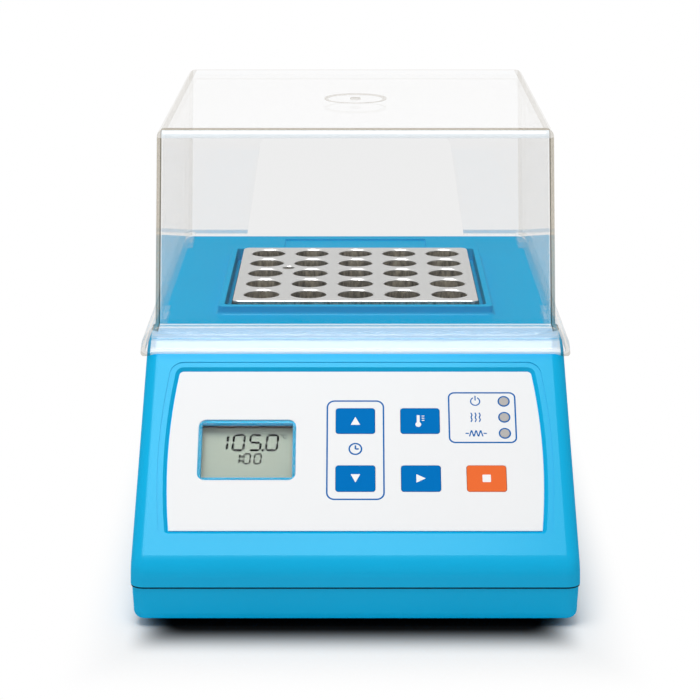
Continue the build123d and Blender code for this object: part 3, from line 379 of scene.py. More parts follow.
    def lights(self) -> tuple[Sum, ...]:
        """Tell how much painted highlight, white that stands in for light bent to the eye, and how much
        mirror image ("share") a point throws to the eye.

        Returns:
            Rows of a name, an operation and its terms: numbers, or the names of earlier results.
        """
        return (
            ("bull", "COMPARE", "below", *self.brow_band),
            ("bull", "MULTIPLY", "bull", "in_front"),
            ("root", "COMPARE", "above", *self.root_band),
            ("root", "MULTIPLY", "root", "on_front"),
            ("rail", "COMPARE", "above", *self.rail_band),
            ("rail", "MULTIPLY", "rail", "in_rear"),
            ("hem", "COMPARE", "z", self.hem, self.hem_half),
            ("hem", "MULTIPLY", "hem", "skirt"),
            ("drop", "SUBTRACT", self.skirt_start, "above"),
            ("drop", "DIVIDE", "drop", self.skirt_drop),
            ("drop", "MAXIMUM", "drop", 0.0),
            ("drop", "MINIMUM", "drop", 1.0),
            ("fall", "MULTIPLY_ADD", "drop", self.skirt_glow_gain, self.skirt_glow),
            ("fall", "MULTIPLY", "fall", "skirt"),
            ("flash", "MULTIPLY_ADD", "drop", self.skirt_flash_gain, self.skirt_flash),
            ("flash", "MULTIPLY", "flash", "skirt"),
            ("bright_bull", "MULTIPLY", "bull", self.brow_flash),
            ("flash", "MAXIMUM", "flash", "bright_bull"),
            ("bull", "MULTIPLY", "bull", self.brow_glow),
            ("root", "MULTIPLY", "root", self.root_glow),
            ("hem", "MULTIPLY", "hem", self.hem_glow),
            ("rail", "MULTIPLY", "rail", self.rail_glow),
            ("glow", "MAXIMUM", "bull", "root"),
            ("glow", "MAXIMUM", "glow", "fall"),
            ("glow", "MAXIMUM", "glow", "hem"),
            ("glow", "MAXIMUM", "glow", "rail"),
            ("plain", "SUBTRACT", 1.0, "rim"),
            ("crease", "COMPARE", "above", *self.crease_band),
            ("crease", "MULTIPLY", "crease", "skirt"),
            ("crease", "MULTIPLY_ADD", "crease", self.crease_gain, 1.0),
            ("plain", "MULTIPLY", "plain", "crease"),
            ("flash", "MULTIPLY", "flash", "crease"),
            ("veil", "MULTIPLY", "glow", "plain"),
            ("steep", "POWER", "grazing", self.mirror_falloff),
            ("image", "MULTIPLY_ADD", "steep", self.steepest_mirror - self.mirror, self.mirror),
            ("image", "MULTIPLY", "image", "plain"),
            ("share", "MAXIMUM", "image", "flash"),
        )

    def surface(self, tree: bpy.types.NodeTree) -> bpy.types.Node:
        """Work out the rows above, then mix the tints, the mirror image and the painted white highlight
        bands by them.

        Args:
            tree: the material's empty node tree.

        Returns:
            The node that shows the surface.
        """
        place = add_node(tree, "TexCoord").outputs["Object"]
        axes = add_node(tree, "SeparateXYZ", Vector=place).outputs
        grazing = add_node(tree, "LayerWeight", Blend=0.5).outputs["Facing"]
        known = {"x": axes["X"], "y": axes["Y"], "z": axes["Z"], "grazing": grazing}
        for name, operation, *terms in (*self.zones(), *self.edges(), *self.lights()):
            slots = {f"in_{slot}": known.get(term, term) for slot, term in enumerate(terms)}
            known[name] = add_node(tree, "Math", {"operation": operation}, **slots)

        body = linear(self.clear)
        # The front tint is the wall's own grey; the edge tint is partly tint through the wall and partly
        # painted shade; the line tint is painted shade.
        tints = {"in_front": self.front_tint, "tinted": self.edge_tint, "line": self.line_tint}
        for where, tint in tints.items():
            body = add_node(
                tree, "Mix", {"data_type": "RGBA"}, in_0=known[where], in_6=body, in_7=linear(tint),
            )
        waves = add_node(tree, "TexNoise", Vector=place, Scale=per_mm(self.ripple), Detail=2.0)
        flow = add_node(
            tree, "Bump", Height=waves, Distance=self.ripple_relief * MM, Strength=self.ripple_strength,
        )
        through = add_node(tree, "BsdfTransparent", Color=body)
        shine = add_node(tree, "BsdfGlossy", Color=linear("ffffff"), Roughness=self.roughness, Normal=flow)
        faces = add_node(tree, "MixShader", in_0=known["share"], in_1=through, in_2=shine)
        # Painted highlight: a white diffuse layer, mixed in by the bands, stands in for light bent to the
        # eye.
        white = add_node(tree, "BsdfDiffuse", Color=linear(self.glow_tint))
        seen = add_node(tree, "MixShader", in_0=known["veil"], in_1=faces, in_2=white)
        shadow = add_node(tree, "LightPath").outputs["Is Shadow Ray"]
        lit = add_node(tree, "BsdfTransparent", Color=linear("ffffff"))
        return add_node(tree, "MixShader", in_0=shadow, in_1=seen, in_2=lit)


@dataclass(frozen=True)
class CutMetal(Finish):
    """Machined, rolled or plated metal: fine parallel marks along one direction, which smear the gloss.

    The marks are drawn coarser than the real tenth of a millimetre or less, so that they show.
    """

    colour: str
    roughness: float = 0.3
    mark: float = 0.25
    stretch: tuple[float, float, float] = (0.05, 1.0, 1.0)
    relief: float = 0.01
    soil: float = 0.06
    soil_size: float = 14.0
    smoother: float = 0.1
    rougher: float = 0.12

    def surface(self, tree: bpy.types.NodeTree) -> bpy.types.Node:
        """Add the marks and the patches of soil.

        Args:
            tree: the material's empty node tree.

        Returns:
            The node that shows the surface.
        """
        place = add_node(tree, "TexCoord").outputs["Object"]
        along = add_node(tree, "Mapping", Vector=place, Scale=self.stretch)
        marks = add_node(tree, "TexNoise", Vector=along, Scale=per_mm(self.mark), Detail=4.0)
        patches = add_node(tree, "TexNoise", Vector=place, Scale=per_mm(self.soil_size), Detail=3.0)
        shade = add_node(tree, "MapRange", Value=patches, To_Min=1 - self.soil, To_Max=1 + self.soil)
        tone = add_node(tree, "HueSaturation", Value=shade, Color=linear(self.colour))
        gloss = add_node(
            tree, "MapRange", Value=marks,
            To_Min=self.roughness - self.smoother, To_Max=self.roughness + self.rougher,
        )
        bump = add_node(tree, "Bump", Height=marks, Distance=self.relief * MM, Strength=1.0)
        return add_node(tree, "BsdfPrincipled", Base_Color=tone, Metallic=1.0, Roughness=gloss, Normal=bump)


@dataclass(frozen=True)
class BoredAluminium(Finish):
    """Aluminium block: a ground top, and drilled wells with fine turned rings.

    The walls of the wells carry lighter and darker upright streaks, which break up their grey, and
    painted shade darkens them where they turn away to the left and right. The grinding marks and the
    rings are drawn about twice as coarse as real ones, so that they show.
    """

    colour: str
    top: float
    well_colour: str = "d9d2c3"
    roughness: float = 0.32
    well_roughness: float = 0.34
    mouth_top: float = 0.8 * MM
    mouth_foot: float = 1.2 * MM
    grind: float = 0.35
    grind_stretch: tuple[float, float, float] = (0.03, 1.0, 0.3)
    speckle: float = 2.5
    dark_speckle: float = 0.95
    light_speckle: float = 1.04
    ring: float = 0.35
    relief: float = 0.002
    streak: float = 2.4
    streak_stretch: tuple[float, float, float] = (1.0, 1.0, 0.3)
    streak_roughness: float = 0.65
    streak_low: float = 0.36
    streak_high: float = 0.64
    dark_streak: float = 0.55
    light_streak: float = 1.6
    painted_end_shade: float = 0.55

    def surface(self, tree: bpy.types.NodeTree) -> bpy.types.Node:
        """Add the ground top, the turned rings and the streaks, and part them at the wells' mouths.

        Args:
            tree: the material's empty node tree.

        Returns:
            The node that shows the surface.
        """
        place = add_node(tree, "TexCoord").outputs["Object"]
        height = add_node(tree, "SeparateXYZ", Vector=place).outputs["Z"]
        below = add_node(
            tree, "MapRange", Value=height, From_Min=self.top - self.mouth_foot,
            From_Max=self.top - self.mouth_top, To_Min=1.0, To_Max=0.0,
        )
        ground = add_node(tree, "Mapping", Vector=place, Scale=self.grind_stretch)
        lines = add_node(tree, "TexNoise", Vector=ground, Scale=per_mm(self.grind), Detail=4.0)
        speckle = add_node(tree, "TexNoise", Vector=place, Scale=per_mm(self.speckle), Detail=3.0)
        top_shade = add_node(
            tree, "MapRange", Value=speckle, To_Min=self.dark_speckle, To_Max=self.light_speckle,
        )
        turn = 2 * math.pi * per_mm(self.ring)
        angle = add_node(tree, "Math", {"operation": "MULTIPLY"}, in_0=height, in_1=turn)
        rings = add_node(tree, "Math", {"operation": "SINE"}, in_0=angle)
        run = add_node(tree, "Mapping", Vector=place, Scale=self.streak_stretch)
        streak_noise = add_node(
            tree, "TexNoise", Vector=run, Scale=per_mm(self.streak), Detail=4.0,
            Roughness=self.streak_roughness,
        )
        streaks = add_node(
            tree, "MapRange", Value=streak_noise, From_Min=self.streak_low, From_Max=self.streak_high,
            To_Min=self.dark_streak, To_Max=self.light_streak,
        )
        # Painted shade: the wells' walls darken where they face to the left or right.
        normal = add_node(tree, "NewGeometry").outputs["Normal"]
        facing = add_node(tree, "SeparateXYZ", Vector=normal).outputs["X"]
        turned = add_node(tree, "Math", {"operation": "POWER"}, in_0=facing, in_1=2.0)
        ends = add_node(tree, "MapRange", Value=turned, To_Min=1.0, To_Max=self.painted_end_shade)
        well_shade = add_node(tree, "Math", {"operation": "MULTIPLY"}, in_0=streaks, in_1=ends)
        marks = add_node(tree, "Mix", {"data_type": "FLOAT"}, in_0=below, in_2=lines, in_3=rings)
        shade = add_node(tree, "Mix", {"data_type": "FLOAT"}, in_0=below, in_2=top_shade, in_3=well_shade)
        metal = add_node(
            tree, "Mix", {"data_type": "RGBA"}, in_0=below,
            in_6=linear(self.colour), in_7=linear(self.well_colour),
        )
        tone = add_node(tree, "HueSaturation", Value=shade, Color=metal)
        gloss = add_node(tree, "MapRange", Value=below, To_Min=self.roughness, To_Max=self.well_roughness)
        bump = add_node(tree, "Bump", Height=marks, Distance=self.relief * MM, Strength=1.0)
        return add_node(tree, "BsdfPrincipled", Base_Color=tone, Metallic=1.0, Roughness=gloss, Normal=bump)


@dataclass(frozen=True)
class PrintedFilm(Finish):
    """Polyester film or the ink on it: flat colour under a velvet matt, with hardly any relief.

    The tooth of a real matt is too fine to show, so it is drawn a quarter of a millimetre wide.
    """

    colour: str
    roughness: float = 0.45
    velvet: float = 0.25
    relief: float = 0.003
    relief_strength: float = 0.6
    tone_spread: float = 0.015
    gloss_spread: float = 0.05
    ior: float = 1.2

    def surface(self, tree: bpy.types.NodeTree) -> bpy.types.Node:
        """Add the flat colour and the tooth of the matt.

        Args:
            tree: the material's empty node tree.

        Returns:
            The node that shows the surface.
        """
        place = add_node(tree, "TexCoord").outputs["Object"]
        tooth = add_node(tree, "TexNoise", Vector=place, Scale=per_mm(self.velvet), Detail=2.0)
        shade = add_node(
            tree, "MapRange", Value=tooth, To_Min=1 - self.tone_spread, To_Max=1 + self.tone_spread,
        )
        tone = add_node(tree, "HueSaturation", Value=shade, Color=linear(self.colour))
        gloss = add_node(
            tree, "MapRange", Value=tooth,
            To_Min=self.roughness - self.gloss_spread, To_Max=self.roughness + self.gloss_spread,
        )
        bump = add_node(
            tree, "Bump", Height=tooth, Distance=self.relief * MM, Strength=self.relief_strength,
        )
        return add_node(
            tree, "BsdfPrincipled", Base_Color=tone, Roughness=gloss, Normal=bump, IOR=self.ior,
            Specular_Tint=linear(self.colour),
        )


@dataclass(frozen=True)
class CircuitBoard(Finish):
    """Glass-fibre board under solder mask: copper tracks show as paler lines in a squared grid."""

    colour: str
    track_colour: str
    cell: float = 6.6
    cell_spread: float = 0.7
    track_spacing: float = 0.14
    track_start: float = 0.06
    track_end: float = 0.075
    track_relief: float = 0.035
    roughness: float = 0.32
    ior: float = 1.55

    def surface(self, tree: bpy.types.NodeTree) -> bpy.types.Node:
        """Add the board's mask and raise the tracks under it.

        Args:
            tree: the material's empty node tree.

        Returns:
            The node that shows the surface.
        """
        place = add_node(tree, "TexCoord").outputs["Object"]
        cells = add_node(
            tree, "TexVoronoi", {"distance": "CHEBYCHEV", "feature": "F1"}, Vector=place,
            Scale=per_mm(self.cell), Randomness=self.cell_spread,
        )
        tracks = add_node(tree, "Math", {"operation": "PINGPONG"}, in_0=cells, in_1=self.track_spacing)
        share = add_node(
            tree, "MapRange", Value=tracks, From_Min=self.track_start, From_Max=self.track_end,
        )
        tone = add_node(
            tree, "Mix", {"data_type": "RGBA"}, in_0=share,
            in_6=linear(self.colour), in_7=linear(self.track_colour),
        )
        bump = add_node(tree, "Bump", Height=share, Distance=self.track_relief * MM)
        return add_node(
            tree, "BsdfPrincipled", Base_Color=tone, Roughness=self.roughness, Normal=bump, IOR=self.ior,
        )


@dataclass(frozen=True)
class FibreFelt(Finish):
    """Ceramic fibre board: matted threads, dull and slightly uneven in tone."""

    colour: str
    thread: float = 1.2
    tangle: float = 2.0
    dark_thread: float = 0.8
    light_thread: float = 1.12
    relief: float = 0.25
    roughness: float = 0.92
    fuzz: float = 0.2

    def surface(self, tree: bpy.types.NodeTree) -> bpy.types.Node:
        """Add the matted threads and the fuzz that they make.

        Args:
            tree: the material's empty node tree.

        Returns:
            The node that shows the surface.
        """
        place = add_node(tree, "TexCoord").outputs["Object"]
        matted = add_node(
            tree, "TexNoise", Vector=place, Scale=per_mm(self.thread), Detail=6.0, Distortion=self.tangle,
        )
        shade = add_node(tree, "MapRange", Value=matted, To_Min=self.dark_thread, To_Max=self.light_thread)
        tone = add_node(tree, "HueSaturation", Value=shade, Color=linear(self.colour))
        bump = add_node(tree, "Bump", Height=matted, Distance=self.relief * MM)
        return add_node(
            tree, "BsdfPrincipled", Base_Color=tone, Roughness=self.roughness, Normal=bump,
            Sheen_Weight=self.fuzz,
        )


@dataclass(frozen=True)
class StudioPaper(Finish):
    """White paper, which looks brighter away from the object to the eye, and in gloss and glass.

    Close round the object it keeps the lamp's shadow, and a painted contact shadow darkens it most along the
    foot of the front.
    """

    half_width: float
    half_depth: float
    tone: str = "f2f2f2"
    shade_start: float = 0.01
    shade_reach: float = 0.07
    squeeze: float = 1.6
    rounding: float = 0.02
    painted_contact_shadow: float = 0.006
    painted_shadow_start: float = 0.001
    painted_shadow_reach: float = 0.031

    def surface(self, tree: bpy.types.NodeTree) -> bpy.types.Node:
        """Measure how far a point is from the object, fade the lamp's shadow by that, and paint a contact
        shadow along the front.

        Args:
            tree: the material's empty node tree.

        Returns:
            The node that shows the surface.
        """
        place = add_node(tree, "TexCoord").outputs["Object"]
        axes = add_node(tree, "SeparateXYZ", Vector=place).outputs
        sides = []
        for axis, edge, growth in (("X", self.half_width, self.squeeze), ("Y", self.half_depth, 1.0)):
            far = add_node(tree, "Math", {"operation": "ABSOLUTE"}, in_0=axes[axis])
            past = add_node(tree, "Math", {"operation": "SUBTRACT"}, in_0=far, in_1=edge)
            sides.append(add_node(tree, "Math", {"operation": "MULTIPLY"}, in_0=past, in_1=growth))
        away = add_node(
            tree, "Math", {"operation": "SMOOTH_MAX"}, in_0=sides[0], in_1=sides[1], in_2=self.rounding,
        )
        open_floor = add_node(
            tree, "MapRange", {"interpolation_type": "SMOOTHSTEP"}, Value=away,
            From_Min=self.shade_start, From_Max=self.shade_reach, To_Min=0.0, To_Max=1.0,
        )
        seen = seen_rays(tree)
        glow = add_node(tree, "Math", {"operation": "MULTIPLY"}, in_0=seen, in_1=open_floor)
        # Painted contact shadow: for rays from the eye, the paper's tone falls to near black close in front
        # of the object.
        painted_contact_shadow = add_node(
            tree, "MapRange", {"interpolation_type": "SMOOTHSTEP"}, Value=away,
            From_Min=self.painted_shadow_start, From_Max=self.painted_shadow_reach, To_Min=self.painted_contact_shadow, To_Max=1.0,
        )
        before = add_node(tree, "Math", {"operation": "LESS_THAN"}, in_0=axes["Y"], in_1=0.0)
        before = add_node(tree, "Math", {"operation": "MULTIPLY"}, in_0=before, in_1=seen)
        shade = add_node(tree, "Mix", {"data_type": "FLOAT"}, in_0=before, in_2=1.0, in_3=painted_contact_shadow)
        tone = add_node(tree, "HueSaturation", Value=shade, Color=linear(self.tone))
        paper = add_node(tree, "BsdfDiffuse", Color=tone)
        light = add_node(tree, "Emission", Color=linear("ffffff"), Strength=1.0)
        return add_node(tree, "MixShader", in_0=glow, in_1=paper, in_2=light)


# ---------------------------------------------------------------- modelling tools
class Pick(Enum):
    """What is selected in edit mode."""

    FACE = "FACE"
    EDGE = "EDGE"


def start(primitive: Callable[..., set[str]], name: str, **sizes: object) -> bpy.types.Object:
    """Add one primitive at its size and place, with all else deselected, and open it in edit mode.

    Args:
        primitive: the operator that adds it.
        name: the piece's name.
        sizes: the operator's settings.

    Returns:
        The new piece, in edit mode and selected all over.
    """
    bpy.ops.object.select_all(action="DESELECT")
    primitive(**sizes)
    piece = bpy.context.active_object
    piece.name = name
    piece.data.name = name
    bpy.ops.object.mode_set(mode="EDIT")
    return piece


def pick(piece: bpy.types.Object, what: Pick, test: Callable[[Vector], bool]) -> None:
    """Select the open piece's faces or edges whose middle passes a test.

    Args:
        piece: the piece, in edit mode.
        what: faces or edges.
        test: says whether a place, in metres, is taken.
    """
    bpy.ops.mesh.select_mode(type=what.value)
    bpy.ops.mesh.select_all(action="DESELECT")
    mesh = bmesh.from_edit_mesh(piece.data)
    for part in mesh.faces if what is Pick.FACE else mesh.edges:
        middle = sum((corner.co for corner in part.verts), Vector()) / len(part.verts)
        part.select_set(test(middle))
    mesh.select_flush_mode()
    bmesh.update_edit_mesh(piece.data)


def select_only(*pieces: bpy.types.Object) -> None:
    """Select some pieces alone, with the first one active.

    Args:
        pieces: what to select.
    """
    bpy.ops.object.select_all(action="DESELECT")
    for piece in pieces:
        piece.select_set(True)
    bpy.context.view_layer.objects.active = pieces[0]


def open_edit(piece: bpy.types.Object) -> None:
    """Open a finished piece in edit mode again."""
    select_only(piece)
    bpy.ops.object.mode_set(mode="EDIT")


def close_edit() -> None:
    """Leave edit mode."""
    bpy.ops.object.mode_set(mode="OBJECT")


def settle(piece: bpy.types.Object, place: Matrix) -> None:
    """Move a piece and put the move into its mesh, so that its object stays at the origin.

    Args:
        piece: what to move.
        place: the move, as a matrix.
    """
    piece.matrix_world = place @ piece.matrix_world
    select_only(piece)
    bpy.ops.object.transform_apply(location=True, rotation=True, scale=True)


def thicken(piece: bpy.types.Object, thickness: float) -> None:
    """Give a flat shape a thickness upwards, closed all round.

    Args:
        piece: the flat shape.
        thickness: how thick it becomes.
    """
    select_only(piece)
    wall = piece.modifiers.new("thickness", "SOLIDIFY")
    wall.thickness = thickness
    wall.offset = 1.0
    bpy.ops.object.modifier_apply(modifier=wall.name)


def cut_away(piece: bpy.types.Object, test: Callable[[Vector], bool]) -> None:
    """Delete the faces whose middle passes a test.

    Args:
        piece: the piece, in object mode.
        test: says whether a place, in metres, is cut away.
    """
    open_edit(piece)
    pick(piece, Pick.FACE, test)
    bpy.ops.mesh.delete(type="FACE")
    close_edit()


def copy_of(piece: bpy.types.Object, name: str) -> bpy.types.Object:
    """Copy a piece with a mesh of its own.

    Args:
        piece: what to copy.
        name: the copy's name.

    Returns:
        The copy.
    """
    twin = piece.copy()
    twin.data = piece.data.copy()
    twin.name = name
    twin.data.name = name
    bpy.context.collection.objects.link(twin)
    return twin


def joined(name: str, pieces: list[bpy.types.Object]) -> bpy.types.Object:
    """Join pieces into one.

    Args:
        name: the joined piece's name.
        pieces: what to join, with the one that takes up the rest first.

    Returns:
        The joined piece.
    """
    select_only(*pieces)
    bpy.ops.object.join()
    pieces[0].name = name
    pieces[0].data.name = name
    return pieces[0]


def rounded_plate(name: str, width: float, height: float, corner: float) -> bpy.types.Object:
    """Cut a flat plate with round corners, centred on the origin and facing up.

    Args:
        name: the piece's name.
        width: size across.
        height: size up.
        corner: corner radius.

    Returns:
        The flat piece, in object mode.
    """
    plate = start(bpy.ops.mesh.primitive_plane_add, name, size=1.0)
    bpy.ops.transform.resize(value=(width, height, 1.0))
    bpy.ops.mesh.bevel(affect="VERTICES", offset=corner, offset_type="OFFSET", segments=8)
    close_edit()
    return plate


def framed(piece: bpy.types.Object, line: float) -> bpy.types.Object:
    """Cut the middle out of a flat plate, and leave a line of even width.

    Args:
        piece: the plate.
        line: the line's width.

    Returns:
        The same piece, in object mode.
    """
    open_edit(piece)
    bpy.ops.mesh.select_mode(type=Pick.FACE.value)
    bpy.ops.mesh.select_all(action="SELECT")
    bpy.ops.mesh.inset(thickness=line, use_even_offset=True)
    bpy.ops.mesh.delete(type="FACE")
    close_edit()
    return piece


def disc(name: str, radius: float, sides: int = 40) -> bpy.types.Object:
    """Cut a flat disc, centred on the origin and facing up.

    Args:
        name: the piece's name.
        radius: its radius.
        sides: how many straight sides its round edge has.

    Returns:
        The flat piece, in object mode.
    """
    plate = start(
        bpy.ops.mesh.primitive_circle_add, name, vertices=sides, radius=radius, fill_type="NGON",
    )
    close_edit()
    return plate


def triangle(name: str, width: float, height: float) -> bpy.types.Object:
    """Cut a flat triangle that points up, with its corners just broken.

    Args:
        name: the piece's name.
        width: size across.
        height: size up.

    Returns:
        The flat piece, in object mode, with half its height on each side of the origin.
    """
    side, rise = math.sqrt(3), 1.5  # of the triangle in a circle with a radius of 1
    corner = 0.05 * height
    plate = start(bpy.ops.mesh.primitive_circle_add, name, vertices=3, radius=1.0, fill_type="NGON")
    bpy.ops.transform.resize(value=(width / side, height / rise, 1.0), center_override=(0, 0, 0))
    bpy.ops.transform.translate(value=(0, -height / 6, 0))
    bpy.ops.mesh.bevel(affect="VERTICES", offset=corner, segments=2)
    close_edit()
    return plate


def dress(material: bpy.types.Material, *names: str) -> None:
    """Give CAD nodes a finish and log each one.

    Args:
        material: the finish.
        names: the nodes.
    """
    for name in names:
        for slot in frame["nodes"][name].material_slots:
            slot.material = material
        log.info("%s is finished in %s", name, material.name)


def fit_out(piece: bpy.types.Object, material: bpy.types.Material, body: str) -> None:
    """Give a new piece its finish, the body that it rides on and its material slot, and log it.

    Args:
        piece: the new piece.
        material: its finish.
        body: the CAD body that carries it.
    """
    piece.data.materials.clear()
    piece.data.materials.append(material)
    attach(piece, body)
    log.info("%s rides on %s in %s", piece.name, body, material.name)


def upright_frame(out: Vector, up: Vector) -> Matrix:
    """Give the turn that makes a flat piece face one way with its top another way."""
    return Matrix((up.cross(out), up, out)).transposed().to_4x4()


@dataclass(frozen=True)
class PanelPlane:
    """The control panel's own plane: X across, Y up the slope, Z out of the film's face."""

    origin: Vector
    up: Vector
    out: Vector

    @classmethod
    def of_frame(cls) -> "PanelPlane":
        """Find the plane from the keys' line of travel and the panel film's corners.

        Returns:
            The plane, with its origin in the middle of the film's face.
        """
        travel = next(joint["axis"] for joint in frame["joints"] if joint["name"] == "up_press")
        out = -Vector(travel).normalized()
        low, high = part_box("control_overlay")
        middle = (Vector(low) + Vector(high)) / 2
        corners = frame["nodes"]["control_overlay"].data.vertices
        rise = max((corner.co - middle).dot(out) for corner in corners)
        return cls(middle + out * rise, out.cross(Vector((1, 0, 0))), out)

    def height_of(self, node: str) -> float:
        """Say how far a CAD node's highest face stands out of the plane."""
        return max((corner.co - self.origin).dot(self.out) for corner in frame["nodes"][node].data.vertices)

    def centre_of(self, node: str) -> tuple[float, float]:
        """Say where a CAD node's middle is on the plane.

        Args:
            node: the CAD node.

        Returns:
            The place across and up.
        """
        low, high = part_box(node)
        middle = (Vector(low) + Vector(high)) / 2 - self.origin
        return middle.x, middle.dot(self.up)

    def at(self, across: float, along: float, height: float) -> Matrix:
        """Give the matrix that takes a flat piece from the origin to a place on the plane."""
        spot = self.origin + Vector((across, 0, 0)) + self.up * along + self.out * height
        return Matrix.Translation(spot) @ upright_frame(self.out, self.up)


# ---------------------------------------------------------------- the reactor's sub-assemblies
@dataclass
class Enclosure:
    """The two moulded shells with the feet and the screws that close them."""

    # ABS from a spark-eroded mould is even and softly glossy, nitrile rubber is dull, and zinc plate is
    # cool and bright.
    shell: MouldedPlastic = MouldedPlastic(
        "moulded_abs_blue", "00b0e3", 0.24, ior=1.02, relief=0.006, sheen="a0dcf2", sheen_share=0.036,
    )
    foot: MouldedPlastic = MouldedPlastic("moulded_nitrile_rubber", "1c1c1e", 0.72, grain=0.5, relief=0.03)
    screw: CutMetal = CutMetal("zinc_plated_steel", "b9bdc2", roughness=0.32)

    def dress(self) -> None:
        """Finish the shells, feet and screws."""
        dress(self.shell.make(), "upper_shell", "lower_shell")
        dress(self.foot.make(), "rubber_feet")
        dress(
            self.screw.make(), "case_screws", "block_screws", "tray_screws", "main_board_screws",
            "display_board_screws", "inlet_screws", "block_standoffs", "key_switches",
        )


@dataclass
class PartingShadowStrip:
    """A thin near-black strip in the step between the two shells: painted shade that draws the parting line
    round the housing.
    """

    thickness: float = 0.65 * MM
    width: float = 1.2 * MM
    inset: float = 0.12 * MM
    corner: float = 6.0 * MM
    # A near-black strip with hardly any gloss, painted shade that reads as the parting line's shadow.
    rubber: MouldedPlastic = MouldedPlastic("painted_parting_shade", "08141e", 0.6, grain=0.6, ior=1.1)

    def build(self) -> None:
        """Lay the painted shade strip in the step under the upper shell's edge."""
        low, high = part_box("upper_shell")
        size = Vector(high) - Vector(low)
        shadow_strip = rounded_plate(
            "parting_seal", size.x - 2 * self.inset, size.y - 2 * self.inset, self.corner - self.inset,
        )
        framed(shadow_strip, self.width)
        thicken(shadow_strip, self.thickness)
        settle(shadow_strip, Matrix.Translation((0, 0, low[2] - self.thickness)))
        fit_out(shadow_strip, self.rubber.make(), "housing")


@dataclass
class HeatingBlock:
    """The drilled block, the plate that heats it and the insulation round both."""

    # Rolled plate has long fine marks, felt is chalky, galvanised sheet is cloudy and drawn tube bright.
    plate: CutMetal = CutMetal("rolled_aluminium_plate", "c4c6c8", roughness=0.35)
    felt: FibreFelt = FibreFelt("ceramic_fibre_felt", "e6e2d6")
    tray: CutMetal = CutMetal("galvanised_sheet", "aeb4b8", roughness=0.4, soil=0.12)
    probe: CutMetal = CutMetal("drawn_stainless_tube", "c9c9c8", roughness=0.25)

    def dress(self) -> None:
        """Finish the block and what holds, heats and wraps it."""
        block = BoredAluminium("machined_aluminium", "d6d6d4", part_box("heater_block")[1][2])
        dress(block.make(), "heater_block")
        dress(self.plate.make(), "heating_plate")
        dress(self.felt.make(), "insulation_jacket", "insulation_pad")
        dress(self.tray.make(), "block_tray")
        dress(self.probe.make(), "temperature_probe")


@dataclass
class SafetyShield:
    """The clear box that lifts off the block."""

    height: float = 90.0 * MM
    wall: float = 2.5 * MM
    draft: float = math.radians(1.6)
    edge: float = 3.5 * MM
    dimple: float = 15.0 * MM
    dimple_shift: float = -3.5 * MM
    lip: float = 1.3 * MM
    tolerance: float = 0.1 * MM

    def dress(self) -> None:
        """Measure the box where its walls meet the rounded top edge, and finish the shield."""
        low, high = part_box("safety_shield")
        top = high[2]
        foot = top - self.height
        mesh = frame["nodes"]["safety_shield"].data
        level = top - self.edge
        brow = [corner.co for corner in mesh.vertices if abs(corner.co.z - level) < self.tolerance]
        flare = self.edge * math.tan(self.draft)
        sheet = MouldedPolycarbonate(
            "clear_moulded_polycarbonate", top=top, foot=foot,
            half_width=max(corner.x for corner in brow) - flare,
            front=min(corner.y for corner in brow) + flare,
            rear=max(corner.y for corner in brow) - flare,
            draft=self.draft, wall=self.wall, dimple=self.dimple, dimple_shift=self.dimple_shift,
            hem=min(mesh.vertices, key=lambda corner: corner.co.y).co.z, lip=low[2] - foot + self.lip,
        )
        dress(sheet.make(), "safety_shield")


